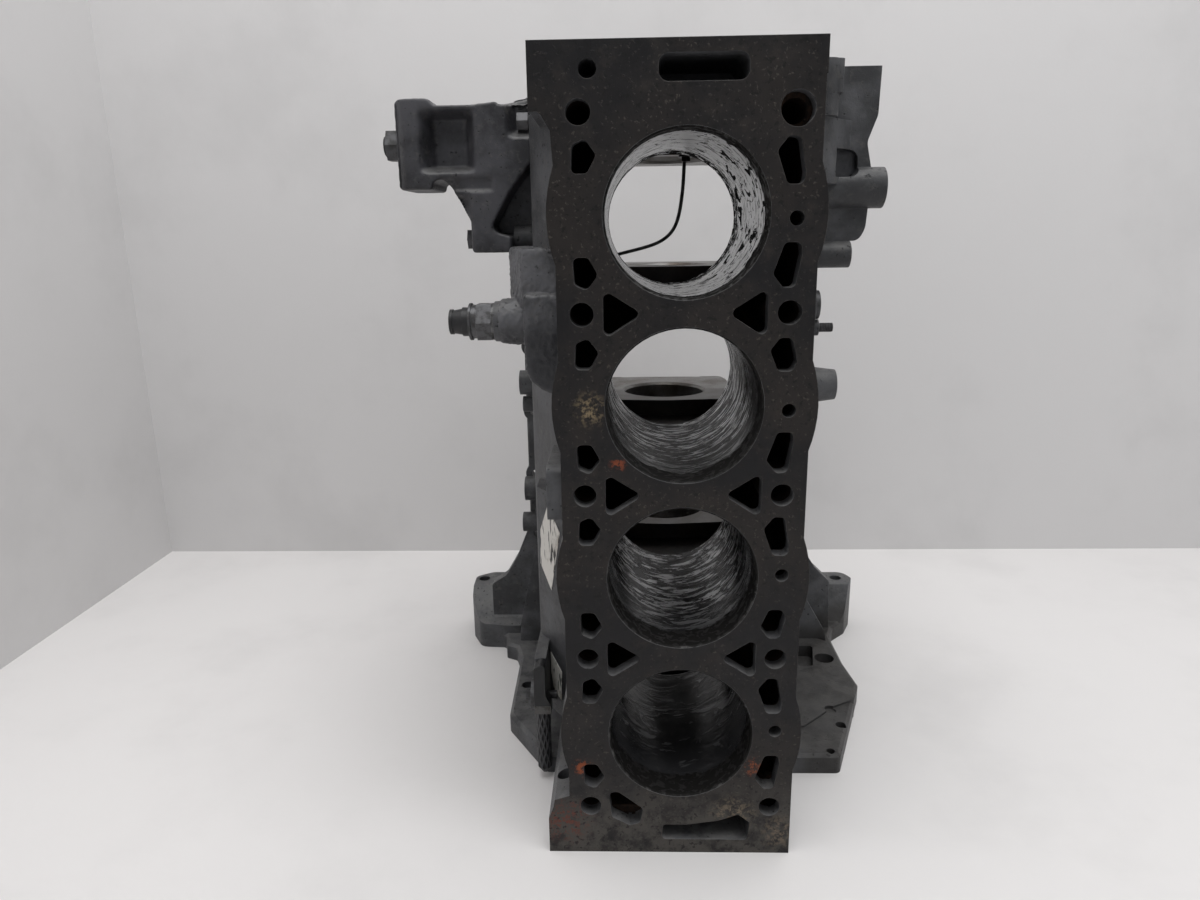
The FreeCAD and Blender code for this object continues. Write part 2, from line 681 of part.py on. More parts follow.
def crankcase_bays():
    """Space for the crankshaft between the webs, less the cylinder ends and saddles that stand in it."""
    half = [(SKIRT_FOOT_X - SKIRT_WALL, RAIL_Y + 1), (SKIRT_TOP_X - SKIRT_WALL, SHOULDER_Y, 10),
            (side_x - 8, ROOF_Y, 14)]
    corners = half + [(-c[0],) + tuple(c[1:]) for c in reversed(half)]
    edges_z = [END_WALL]
    for z in row_z[1:-1]:
        edges_z.extend([z - WEB_THICKNESS / 2, z + WEB_THICKNESS / 2])
    edges_z.append(block_length - END_WALL)
    hollow = [prism_z(corners, edges_z[i], edges_z[i + 1]) for i in range(0, len(edges_z), 2)]
    barrel_y = deck_y + BORE_LENGTH - 40
    islands = [rod(bore_radius + CYLINDER_WALL, 40, Vector(0, barrel_y, z), Y) for z in bore_z]
    saddle = [(-CAP_HALF_WIDTH - 6, 0), (-CAP_HALF_WIDTH - 2, -30, 8), (-SADDLE_REACH, -SADDLE_REACH + 4, 10),
              (0, -SADDLE_REACH - 1, 60), (SADDLE_REACH, -SADDLE_REACH + 4, 10), (CAP_HALF_WIDTH + 2, -30, 8),
              (CAP_HALF_WIDTH + 6, 0)]
    for low, high in saddle_faces():
        islands.append(prism_z(saddle, low, high))
    return hollow[0].multiFuse(hollow[1:]).cut(islands[0].multiFuse(islands[1:]))


def cap_register():
    """Room for each cap below the joint plane."""
    cuts = []
    width = CAP_HALF_WIDTH + CAP_SIDE_GAP
    for low, high in saddle_faces():
        cuts.append(box(-width, width, 0, RAIL_Y + 1, low - 1, high + 1))
    return cuts


def cap_bolt_places():
    places = []
    for low, high in saddle_faces():
        for side in (-1, 1):
            places.append(Vector(side * CAP_BOLT_X, 0, (low + high) / 2))
    return places


def web_windows():
    """Below the joint plane the inner webs end in short side walls only."""
    cuts = []
    for z in row_z[1:-1]:
        cuts.append(box(-SKIRT_TOP_X + SKIRT_WALL + 6, SKIRT_TOP_X - SKIRT_WALL - 6, 0, RAIL_Y + 1,
                        z - WEB_THICKNESS, z + WEB_THICKNESS))
    return cuts


def threaded_holes():
    cuts = []
    for place in cap_bolt_places():
        cuts.append(rod(CAP_BOLT_RADIUS, CAP_BOLT_DEPTH + 1, place + Y, -Y))
        cuts.append(rod(CAP_BOLT_RADIUS + CAP_DOWEL_WALL, CAP_DOWEL_LENGTH / 2 + 1, place + Y, -Y))
    for side in (-1, 1):
        for z in rail_bolt_z():
            cuts.append(rod(RAIL_BOLT_RADIUS, 21, Vector(side * RAIL_BOLT_X, RAIL_Y + 1, z), -Y))
    for x, y in timing_holes():
        cuts.append(rod(3.4, 16, Vector(x, y, block_length + 1), -Z))
    for x, y in gearbox_holes():
        cuts.append(rod(GEARBOX_BOLT_RADIUS, EAR_HEIGHT + 2, Vector(x, y, -1), Z))
    cuts.append(rod(8.3, FLANGE_THICKNESS + 4, Vector(139.5, -18, -1), Z))
    cuts.append(rod(4, 14, Vector(129.5, -117, FLANGE_THICKNESS + 1), -Z))
    cuts.append(rod(3, 12, Vector(114, deck_y + 85, FLANGE_THICKNESS + 1), -Z))
    return cuts


def timing_holes():
    return [(-72, deck_y + 20), (60, deck_y + 40), (-72, deck_y + 90), (-72, deck_y + 150), (-94, -30),
            (-112, 30), (112, 30), (104, -40), (108, deck_y + 150), (108, deck_y + 96), (0, deck_y + 150),
            (-45, -62), (45, -62)]


def gearbox_holes():
    return [(-172.5, 85), (172.5, 85), (-114, -60), (-72, deck_y + 24), (58, deck_y + 14)]


def core_plug_places():
    """Core holes in the two sides of the water jacket."""
    depth = deck_y + 62
    right = [Vector(crest_x, depth, z) for z in bore_z[:3]]
    left = [Vector(-crest_x, depth + 24, bore_z[0] + 50), Vector(-crest_x, depth, bore_z[1])]
    return left, right


def build_block():
    body = fuse([upper_body()] + crankcase() + timing_face() + gearbox_flange() + left_side() + right_side())
    cuts = [water_jacket(), crankcase_bays()]
    cuts += bores() + deck_passages() + deck_holes() + crank_tunnel() + cap_register() + web_windows()
    cuts += threaded_holes() + side_cuts()
    left, right = core_plug_places()
    through = crest_x - inner_x + 2
    for place in right:
        cuts.append(rod(CORE_PLUG_RADIUS, through, place + X, -X))
    for place in left:
        cuts.append(rod(CORE_PLUG_RADIUS, through, place - X, X))
    cuts += oilways()
    return body.cut(cuts[0].multiFuse(cuts[1:]))


def oilways():
    """The main gallery from end to end, and a drilling from it to every main bearing."""
    cuts = [rod(GALLERY_RADIUS, block_length + 2, Vector(GALLERY_X, GALLERY_Y, -1), Z)]
    for low, high in saddle_faces():
        start = Vector(GALLERY_X, GALLERY_Y, (low + high) / 2)
        inward = Vector(-GALLERY_X, -GALLERY_Y, 0)
        length = inward.Length - TUNNEL_RADIUS + 3
        inward.normalize()
        cuts.append(rod(OIL_DRILLING_RADIUS, length, start, inward))
    return cuts


# Crankcase pieces

def cap_seat_y(index):
    """Height of the bolt seats; the end caps stay flush with the sump face."""
    ends = (0, len(row_z) - 1)
    return RAIL_Y if index in ends else CAP_REACH


def bearing_cap(index):
    low, high = saddle_faces()[index]
    seat = cap_seat_y(index)
    half = [(CAP_HALF_WIDTH, 0), (CAP_HALF_WIDTH, seat - 16, 6), (CAP_HALF_WIDTH - 3, seat, 4),
            (CAP_BOLT_X - 8, seat, 1.5), (CAP_BOLT_X - 10, seat - 2, 1.5), (14, seat - 0.6, 60)]
    corners = half + mirrored(reversed(half))
    cap = prism_z(corners, low, high)
    for side in (-1, 1):
        place = Vector(side * CAP_BOLT_X, -1, (low + high) / 2)
        cap = cap.cut(rod(CAP_BOLT_RADIUS + CAP_BOLT_CLEARANCE, seat + 2, place, Y))
        cap = cap.cut(rod(CAP_BOLT_RADIUS + CAP_DOWEL_WALL, 1 + CAP_DOWEL_LENGTH / 2, place, Y))
    for tunnel in crank_tunnel():
        cap = cap.cut(tunnel)
    return cap


def cap_bolts():
    bolts = []
    for index, (low, high) in enumerate(saddle_faces()):
        seat = cap_seat_y(index)
        for side in (-1, 1):
            place = Vector(side * CAP_BOLT_X, seat, (low + high) / 2)
            bolts.append(hex_bolt(CAP_BOLT_FLATS, CAP_BOLT_HEAD, CAP_BOLT_FLANGE, CAP_BOLT_RADIUS,
                                  seat + CAP_BOLT_DEPTH - 4, place, -Y))
    return bolts


def cap_dowels():
    dowels = []
    for place in cap_bolt_places():
        base = place - Y * (CAP_DOWEL_LENGTH / 2)
        outer = CAP_BOLT_RADIUS + CAP_DOWEL_WALL
        dowels.append(ring(outer, CAP_BOLT_RADIUS + 0.1, CAP_DOWEL_LENGTH, base, Y))
    return dowels


# Plugs

def core_plug(mouth, inward):
    """Pressed steel cup, open outwards."""
    cup = rod(CORE_PLUG_RADIUS, CORE_PLUG_DEPTH, mouth, inward)
    return cup.cut(rod(CORE_PLUG_RADIUS - CORE_PLUG_WALL, CORE_PLUG_DEPTH - CORE_PLUG_WALL, mouth, inward))


def gallery_plug(face, inward):
    plug = rod(GALLERY_RADIUS, GALLERY_PLUG_LENGTH, face, inward)
    return plug.cut(hexagon(6, 6, face, inward))


def build_plugs():
    left, right = core_plug_places()
    save("core_plugs_right", group([core_plug(place - X, -X) for place in right]))
    save("core_plugs_left", group([core_plug(place + X, X) for place in left]))
    save("front_gallery_plug", gallery_plug(Vector(GALLERY_X, GALLERY_Y, block_length - 1), -Z))
    save("rear_gallery_plug", gallery_plug(Vector(GALLERY_X, GALLERY_Y, 1), Z))
    end = Vector(END_BOSS_X, end_boss_y, END_BOSS_Z)
    plug = rod(6.6, 12, end, -X)
    save("boss_end_plug", raised([plug.cut(hexagon(6, 6, end, -X))])[0])
    seat = Vector(ROUND_PLUG_SEAT_X, side_y, ROUND_PLUG_Z)
    plug = rod(ROUND_PLUG_RADIUS, 7, seat, -X).fuse(rod(ROUND_PLUG_HEAD, 3, seat, X))
    save("right_round_plug", raised([plug.cut(hexagon(8, 5, seat + X * 3, -X))])[0])
    save("right_stud", raised([rod(STUD_RADIUS, 9 + 16, Vector(STUD_SEAT_X + 9, side_y, STUD_Z), -X)])[0])


# Oil pressure switch

def build_switch():
    end = Vector(SWITCH_BOSS_END, side_y, SWITCH_Z + lift)
    save("oil_switch_washer", ring(11.5, SWITCH_THREAD_RADIUS, 1.5, end, -X))
    seat = end - X * 1.5
    body = rod(SWITCH_THREAD_RADIUS, 14, seat, X)
    body = body.fuse(hexagon(22, 9.5, seat - X * 9.5, X))
    body = body.fuse(rod(10.5, 3.5, seat - X * 9.5, -X))
    body = body.fuse(rod(11.5, 1.5, seat - X * 13, -X))
    body = body.cut(rod(6.5, 6, seat - X * 14.5, X))
    save("oil_switch_body", body)
    insulator = rod(6.5, 6, seat - X * 8.5, -X)
    insulator = insulator.fuse(rod(9, 4.5, seat - X * 14.5, -X))
    insulator = insulator.fuse(taper(8.2, 7.2, 6, seat - X * 19, -X))
    insulator = insulator.fuse(rod(7.8, 2, seat - X * 25, -X))
    insulator = insulator.cut(rod(4.6, 7, seat - X * 27, X)).cut(rod(1.6, 10, seat - X * 27, X))
    save("oil_switch_insulator", insulator)
    save("oil_switch_terminal", rod(1.6, 9, seat - X * 26, X))


# Mount bracket

def bracket_bolt_y():
    front = deck_y + BRACKET_FRONT
    return (front + BRACKET_BOLT_INSET, front + BRACKET_DEPTH - BRACKET_BOLT_INSET)


def build_bracket():
    """Arm that carries the engine mount; hollowed from the front and the back, leaving a middle web."""
    wall = TIMING_FLANGE_X
    tip = wall - BRACKET_ARM
    front = deck_y + BRACKET_FRONT
    back = front + BRACKET_DEPTH
    arm = [(tip, 459, 2), (tip + 22, 459, 3), (tip + 25, 455, 3), (tip + 48, 455, 30), (wall - 26, 457, 30),
           (wall, 461), (wall, 437), (wall - 10, 421, 12), (wall - 24, 404, 12), (wall - 38, 380, 5),
           (LUG_END_X, 376, 1), (LUG_END_X, 367, 1), (wall - 49, 367, 2), (wall - 49, 386, 2),
           (wall - 60, 407, 8), (tip + 27, 413, 5), (tip + 21.5, 410, 3), (tip + 21.5, 406, 1), (tip, 406, 2)]
    bracket = prism_y(arm, front, back)
    rounded = [(tip, front, 6), (wall + 1, front), (wall + 1, back), (tip, back, 6)]
    bracket = bracket.common(prism_z(rounded, 360, 465))
    pocket = [(tip + 17, 451), (wall - 46, 451), (wall - 46, 417), (tip + 14, 417)]
    for start, end in ((front - 1, front + BRACKET_POCKET), (back - BRACKET_POCKET, back + 1)):
        bracket = bracket.cut(prism_y(pocket, start, end, 6))
    pad_x = wall - BRACKET_PAD
    for start, end in ((front - 1, front + 14), (back - 14, back + 1)):
        bracket = bracket.cut(box(pad_x - 19, pad_x, start, end, BRACKET_BOLT_Z - 9, 470))
    for y in bracket_bolt_y():
        bracket = bracket.cut(rod(BRACKET_BOLT_RADIUS + 0.4, 20, Vector(wall + 1, y, BRACKET_BOLT_Z), -X))
    foot = Vector(wall - 49, lug_y, LUG_Z)
    bracket = bracket.cut(rod(BRACKET_BOLT_RADIUS + 0.4, 60, foot - X * 2, X))
    return raised([bracket.cut(rod(6, 22, Vector(tip - 1, lug_y, BRACKET_STUD_Z), X))])[0]


def build_bracket_hardware():
    wall = TIMING_FLANGE_X
    bolts = []
    for y in bracket_bolt_y():
        seat = Vector(wall - BRACKET_PAD, y, BRACKET_BOLT_Z)
        bolts.append(hex_bolt(10, 7, 0, BRACKET_BOLT_RADIUS, BRACKET_PAD + 20, seat, X))
    save("bracket_top_bolts", group(raised(bolts)))
    foot = Vector(wall - 49, lug_y, LUG_Z + lift)
    save("bracket_foot_bolt", hex_bolt(12, 6, 7.5, BRACKET_BOLT_RADIUS, 50, foot, X))
    tip = Vector(wall - BRACKET_ARM, lug_y, BRACKET_STUD_Z + lift)
    save("bracket_end_stud", rod(6, 32, tip + X * 20, -X))
    nut = hexagon(18, 8, tip - X * 10, X).fuse(rod(11, 2, tip - X * 2, X))
    save("bracket_end_nut", nut.cut(rod(6, 20, tip + X, -X)))


# Lower left sensor

def build_sensor():
    """Round sensor bolted to its pedestal, with a plug, a clip and a sleeved cable that ends at the floor."""
    seat = Vector(SENSOR_SEAT_X, sensor_y, SENSOR_Z)
    save("side_sensor", ring(11, SENSOR_BOLT_RADIUS + 0.2, 4, seat, -X))
    save("sensor_bolt", hex_bolt(8, 4, 0, SENSOR_BOLT_RADIUS, 18, seat - X * 4, X))
    back = sensor_y - SENSOR_PAD
    front = back - 11
    inner = LEDGE_X + 6.5
    plug = [(SENSOR_SEAT_X, 60, 2), (SENSOR_SEAT_X, 89, 3), (inner, 93, 3), (inner, 68, 3),
            (inner + 3.5, 60, 1)]
    save("sensor_plug", prism_y(plug, front, back))
    save("plug_clip", box(SENSOR_SEAT_X, inner + 3.5, front, back, 54, 60))
    middle = Vector(-91, (front + back) / 2, 54)
    sleeve = rod(SLEEVE_RADIUS, 44, middle, -Z).fuse(taper(SLEEVE_RADIUS, 1.5, 5, middle - Z * 44, -Z))
    save("cable_sleeve", sleeve)


# Labels

def ledge_x(y):
    """Sloping face of the ledge."""
    return LEDGE_TOP_X + (y - ledge_top_y) * (LEDGE_X - LEDGE_TOP_X) / (ledge_foot_y - ledge_top_y)


def build_labels():
    """Two pieces of paper stuck to the ledge; corners are depth below the deck and height."""
    shapes = {
        "upper_label": [(105, 195), (114, 174), (115, 148), (103.5, 132), (92.5, 179)],
        "lower_label": [(106.5, 82), (106.5, 66), (104, 53), (96, 49), (94.5, 72.5)],
    }
    outward = Vector(-1, ledge_x(1) - ledge_x(0), 0)
    outward.normalize()
    for name, corners in shapes.items():
        outer = [Vector(ledge_x(deck_y + depth), deck_y + depth, z) for depth, z in corners]
        face = Part.Face(Part.makePolygon(outer + [outer[0]]))
        save(name, face.extrude(outward * LABEL_THICKNESS))


# Strip in the first bay

def strip_middle():
    """Place where the strip meets the face of the last saddle."""
    return Vector(STRIP_X, -SADDLE_REACH + 12, saddle_faces()[-1][0])


def strip_hole():
    return strip_middle() - Y * 6.5


def build_strip():
    """Thin metal strip screwed to the face of the last saddle and bent away to the left wall."""
    top = strip_middle()
    low_y = top.y - STRIP_WIDTH / 2
    high_y = top.y + STRIP_WIDTH / 2
    foot_z = saddle_faces()[-2][1]
    rise = top.z - foot_z
    bends = [(9, 0.533), (4, 0.335), (-4, 0.239), (-20, 0.162), (-36, 0.124), (-78, -0.017), (-97.4, -0.042)]
    route = [(STRIP_X, top.z - 4)] + [(x, foot_z + share * rise) for x, share in bends]
    shifted = [(x - STRIP_THICKNESS * 0.6, z - STRIP_THICKNESS) for x, z in reversed(route)]
    band = prism_y(route + shifted, low_y, high_y)
    foot = box(STRIP_X - 5, STRIP_X + 5, top.y - 11, high_y, top.z - STRIP_THICKNESS, top.z)
    neck = box(STRIP_X - 1.5, STRIP_X, low_y, high_y, top.z - 8, top.z)
    strip = fuse([band, foot, neck])
    hole = strip_hole()
    save("web_strip", strip.cut(rod(STRIP_SCREW_RADIUS + 0.2, 4, hole + Z, -Z)))
    save("strip_screw", hex_bolt(6, 3, 0, STRIP_SCREW_RADIUS, 9, hole - Z * STRIP_THICKNESS, Z))


block = build_block()
save("cylinder_block", block)
for index in range(len(row_z)):
    save("main_bearing_cap_" + str(index + 1), bearing_cap(index))
save("main_cap_bolts", group(cap_bolts()))
save("cap_dowels", group(cap_dowels()))
build_plugs()
build_switch()
save("mount_bracket", build_bracket())
build_bracket_hardware()
build_sensor()
build_labels()
build_strip()
print("block", block.isValid(), len(block.Solids), round(block.Volume / 1e6, 3), "litres", len(block.Faces))
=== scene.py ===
# %% [markdown]
# # A bare engine block on a white floor
#
# The object is the iron block of a four-cylinder engine, stood on its gearbox end, with the deck
# towards the camera. The castings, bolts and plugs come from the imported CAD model. This lesson
# gives each of them a finish, adds the small shapes that the CAD model leaves out, and sets up
# the floor, the light and the camera.

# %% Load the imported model
import math

import bmesh
import bpy
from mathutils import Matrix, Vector


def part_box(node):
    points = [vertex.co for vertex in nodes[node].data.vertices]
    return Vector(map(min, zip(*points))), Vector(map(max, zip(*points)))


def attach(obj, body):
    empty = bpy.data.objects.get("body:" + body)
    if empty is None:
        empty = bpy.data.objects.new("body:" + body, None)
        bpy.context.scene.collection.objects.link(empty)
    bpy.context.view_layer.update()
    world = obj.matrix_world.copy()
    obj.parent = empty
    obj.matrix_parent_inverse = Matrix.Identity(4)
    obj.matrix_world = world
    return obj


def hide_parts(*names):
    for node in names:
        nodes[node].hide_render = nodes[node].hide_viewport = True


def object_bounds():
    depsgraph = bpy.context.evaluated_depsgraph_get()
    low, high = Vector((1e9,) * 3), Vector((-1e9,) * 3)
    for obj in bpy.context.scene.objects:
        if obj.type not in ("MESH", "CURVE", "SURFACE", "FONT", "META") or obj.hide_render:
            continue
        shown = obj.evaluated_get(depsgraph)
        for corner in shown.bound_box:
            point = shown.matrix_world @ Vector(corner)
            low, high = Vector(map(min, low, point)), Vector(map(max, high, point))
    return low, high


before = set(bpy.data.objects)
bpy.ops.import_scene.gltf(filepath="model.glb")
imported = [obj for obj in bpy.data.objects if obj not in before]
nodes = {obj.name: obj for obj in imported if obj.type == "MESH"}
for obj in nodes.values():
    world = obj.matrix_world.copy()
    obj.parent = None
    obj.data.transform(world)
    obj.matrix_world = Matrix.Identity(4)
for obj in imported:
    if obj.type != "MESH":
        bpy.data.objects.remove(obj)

cad_low, cad_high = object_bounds()
print("CAD nodes:", len(nodes), "box:", [round(v, 3) for v in (*cad_low, *cad_high)])

# %% [markdown]
# ## Camera
#
# The photograph was taken with a wide lens from close by, at the height of the top cylinder, so that
# one is seen straight through and the others show their lower walls. The place, the turn and the
# focal length were solved from the round bores, which are taken as 85 mm wide.

# %% Camera
camera_data = bpy.data.cameras.new("photo_camera")
camera_data.lens = 25.03
camera_data.sensor_width = 36.0
camera_data.clip_start = 0.01
camera = bpy.data.objects.new("photo_camera", camera_data)
camera.location = (-0.03234, -0.68095, 0.37738)
camera.rotation_euler = [math.radians(angle) for angle in (75.4707, 0.8055, 1.5719)]
bpy.context.scene.collection.objects.link(camera)
bpy.context.scene.camera = camera
bpy.context.scene.view_settings.view_transform = "Standard"
print("camera", [round(v, 3) for v in camera.location], "lens", camera_data.lens)

# %% [markdown]
# ## Sums on sockets
#
# A finish is a network of nodes, and most of them are small sums: a mask times another mask, or one
# minus a mask. Wrapping an output socket in a class with the usual operators lets a sum be written
# as a line of Python. Every other node comes from one method, which sets the node's settings first
# and then its sockets.

# %% Wire and Finish
class Wire:
    """An output socket that takes part in sums; each sum adds one Math node."""

    def __init__(self, finish, socket):
        self.finish = finish
        self.socket = socket

    def __add__(self, other):
        return self.finish.maths("ADD", self, other)

    def __radd__(self, other):
        return self.finish.maths("ADD", other, self)

    def __sub__(self, other):
        return self.finish.maths("SUBTRACT", self, other)

    def __rsub__(self, other):
        return self.finish.maths("SUBTRACT", other, self)

    def __mul__(self, other):
        return self.finish.maths("MULTIPLY", self, other)

    def __rmul__(self, other):
        return self.finish.maths("MULTIPLY", other, self)

    def __truediv__(self, other):
        return self.finish.maths("DIVIDE", self, other)

    def __gt__(self, other):
        return self.finish.maths("GREATER_THAN", self, other)

    def __lt__(self, other):
        return self.finish.maths("LESS_THAN", self, other)


class Finish:
    """A material under construction."""

    def __init__(self, name):
        self.material = bpy.data.materials.new(name)
        self.material.use_nodes = True
        self.tree = self.material.node_tree
        self.tree.nodes.clear()
        self.place = self.node("ShaderNodeTexCoord", output="Object")
        self.facing = self.node("ShaderNodeTexCoord", output="Normal")

    def node(self, kind, settings=None, values=None, output=0):
        node = self.tree.nodes.new(kind)
        for key, value in (settings or {}).items():
            if key == "stops":
                ramp = node.color_ramp
                while len(ramp.elements) < len(value):
                    ramp.elements.new(0.5)
                for element, (position, colour) in zip(ramp.elements, value):
                    element.position = position
                    element.color = (*colour, 1.0)
            else:
                setattr(node, key, value)
        for key, value in (values or {}).items():
            if isinstance(value, Wire):
                self.tree.links.new(value.socket, node.inputs[key])
            else:
                node.inputs[key].default_value = value
        return Wire(self, node.outputs[output])

    def maths(self, operation, *values):
        return self.node("ShaderNodeMath", {"operation": operation}, dict(enumerate(values)))

    def axes(self, vector):
        return [self.node("ShaderNodeSeparateXYZ", values={0: vector}, output=i) for i in range(3)]

    def stretch(self, scale, shift=(0.0, 0.0, 0.0), turn=(0.0, 0.0, 0.0)):
        """Object coordinates scaled by axis, so that a pattern is longer one way than the other."""
        return self.node("ShaderNodeMapping",
                         values={"Vector": self.place, "Scale": scale, "Location": shift, "Rotation": turn})

    def noise(self, scale, detail=4.0, roughness=0.5, where=None, distortion=0.0):
        return self.node("ShaderNodeTexNoise",
                         values={"Vector": where or self.place, "Scale": scale, "Detail": detail,
                                 "Roughness": roughness, "Distortion": distortion})

    def step(self, value, low, high):
        """0 below low, 1 above high and a soft slope between."""
        return self.node("ShaderNodeMapRange", {"interpolation_type": "SMOOTHSTEP"},
                         {"Value": value, "From Min": low, "From Max": high})

    def near(self, centre, radius, softness):
        """1 inside a ball round a point of the object, with a soft edge."""
        away = self.node("ShaderNodeVectorMath", {"operation": "DISTANCE"},
                         {0: self.place, 1: centre}, output="Value")
        return 1 - self.step(away, radius - softness, radius + softness)

    def mix(self, factor, first, second):
        first = (*first, 1.0) if isinstance(first, tuple) else first
        second = (*second, 1.0) if isinstance(second, tuple) else second
        return self.node("ShaderNodeMix", {"data_type": "RGBA"}, {0: factor, 6: first, 7: second}, output=2)

    def blend(self, factor, first, second):
        """The same for numbers; first is a Wire."""
        return first + factor * (second - first)

    def rounded(self, radius):
        """Surface direction with edges softened, which catches light as a worn edge does."""
        return self.node("ShaderNodeBevel", {"samples": 4}, {"Radius": radius})

    def wear(self, soft_direction):
        """How far the softened direction leans from the true one: 1 along edges."""
        true = self.node("ShaderNodeNewGeometry", output="Normal")
        agree = self.node("ShaderNodeVectorMath", {"operation": "DOT_PRODUCT"},
                          {0: soft_direction, 1: true}, output="Value")
        return self.step(1 - agree, 0.02, 0.22)

    def bump(self, height, distance, strength=1.0, direction=None):
        values = {"Height": height, "Distance": distance, "Strength": strength}
        if direction:
            values["Normal"] = direction
        return self.node("ShaderNodeBump", values=values)

    def surface(self, constants, **links):
        values = dict(constants)
        for key, value in links.items():
            values[key.replace("_", " ")] = (*value, 1.0) if isinstance(value, tuple) else value
        shader = self.node("ShaderNodeBsdfPrincipled", values=values)
        self.node_output(shader)
        return self.material

    def node_output(self, shader):
        output = self.tree.nodes.new("ShaderNodeOutputMaterial")
        self.tree.links.new(shader.socket, output.inputs["Surface"])


print("helpers ready")

# %% [markdown]
# ## Floor and walls
#
# The block stands on a white painted floor in a white corner. The walls are single sheets that show
# only on the side that faces the room, so the block can also be looked at from behind. They are
# plain, because they only have to give the bores something pale to look through to.

# %% Floor and walls
WALL_Y = 0.283
WALL_X = -0.600


def sheet(name, corners):
    mesh = bpy.data.meshes.new(name)
    mesh.from_pydata(corners, [], [tuple(range(len(corners)))])
    made = bpy.data.objects.new(name, mesh)
    bpy.context.scene.collection.objects.link(made)
    return made


def stage_finish(name, colour, one_sided):
    finish = Finish(name)
    smudge = finish.noise(6.0, 5.0, 0.6)
    tone = finish.mix(finish.step(smudge, 0.45, 0.75), colour, tuple(0.93 * c for c in colour))
    grain = finish.noise(300.0, 3.0)
    shader = finish.node("ShaderNodeBsdfPrincipled",
                         values={"Base Color": tone, "Roughness": 0.62, "Specular IOR Level": 0.25,
                                 "Normal": finish.bump(grain, 0.0002, 0.3)})
    if one_sided:
        behind = finish.node("ShaderNodeNewGeometry", output="Backfacing")
        clear = finish.node("ShaderNodeBsdfTransparent")
        shader = finish.node("ShaderNodeMixShader", values={0: behind, 1: shader, 2: clear})
    finish.node_output(shader)
    return finish.material


FLOOR_SIZE = 3.0
WALL_HEIGHT = 2.4
floor = sheet("floor", [(-FLOOR_SIZE, -FLOOR_SIZE, 0), (FLOOR_SIZE, -FLOOR_SIZE, 0),
                        (FLOOR_SIZE, FLOOR_SIZE, 0), (-FLOOR_SIZE, FLOOR_SIZE, 0)])
back_wall = sheet("back_wall", [(WALL_X, WALL_Y, 0), (FLOOR_SIZE, WALL_Y, 0),
                                (FLOOR_SIZE, WALL_Y, WALL_HEIGHT), (WALL_X, WALL_Y, WALL_HEIGHT)])
left_wall = sheet("left_wall", [(WALL_X - 0.02, -1.2, 0), (WALL_X, WALL_Y, 0),
                                (WALL_X, WALL_Y, WALL_HEIGHT), (WALL_X - 0.02, -1.2, WALL_HEIGHT)])
floor.data.materials.append(stage_finish("white_floor", (0.745, 0.728, 0.720), False))
wall_finish = stage_finish("white_wall", (0.640, 0.630, 0.628), True)
back_wall.data.materials.append(wall_finish)
left_wall.data.materials.append(wall_finish)
for wall in (back_wall, left_wall):
    print(wall.name, "faces", [round(v, 2) for v in wall.data.polygons[0].normal])

# %% [markdown]
# ## Light
#
# A room with white walls and soft light: a large lamp above and a little in front, a weaker one to the
# right, and an even light from all round. The lamp above only grazes the deck, so the deck stays dark
# and the tops of the castings are brighter.

# %% Light
def lamp(name, place, aim, width, power):
    data = bpy.data.lights.new(name, "AREA")
    data.shape = "SQUARE"
    data.size = width
    data.energy = power
    made = bpy.data.objects.new(name, data)
    made.location = place
    made.rotation_euler = (Vector(aim) - Vector(place)).to_track_quat("-Z", "Y").to_euler()
    bpy.context.scene.collection.objects.link(made)
    return made


lamp("ceiling_light", (0.10, -0.45, 1.75), (0.0, 0.0, 0.2), 1.2, 22.0)
lamp("side_light", (1.5, -0.9, 1.0), (0.0, 0.0, 0.25), 1.0, 3.5)
world = bpy.data.worlds.new("room")
world.use_nodes = True
world.node_tree.nodes["Background"].inputs["Color"].default_value = (0.95, 0.97, 1.0, 1.0)
world.node_tree.nodes["Background"].inputs["Strength"].default_value = 0.37
bpy.context.scene.world = world

# %% [markdown]
# ## The block's zones
#
# One casting carries several finishes: dark paint outside, an oily milled deck, honed cylinders,
# machined ends and bearing seats, and a raw oily crankcase. They could be separate materials on
# separate faces, but the casting is one solid, so each zone is a mask worked out from the place and
# the direction of the surface.

# %% Sizes that the masks need
DECK_Y = cad_low.y
BLOCK_LENGTH = cad_high.z
BORE_RADIUS = 0.0425
BORE_PITCH = 0.1008
FIRST_BORE_Z = 0.0838
BORE_FOOT_Y = -0.0895
TUNNEL_RADIUS = 0.032
print("deck at", round(DECK_Y, 4), "length", round(BLOCK_LENGTH, 4))


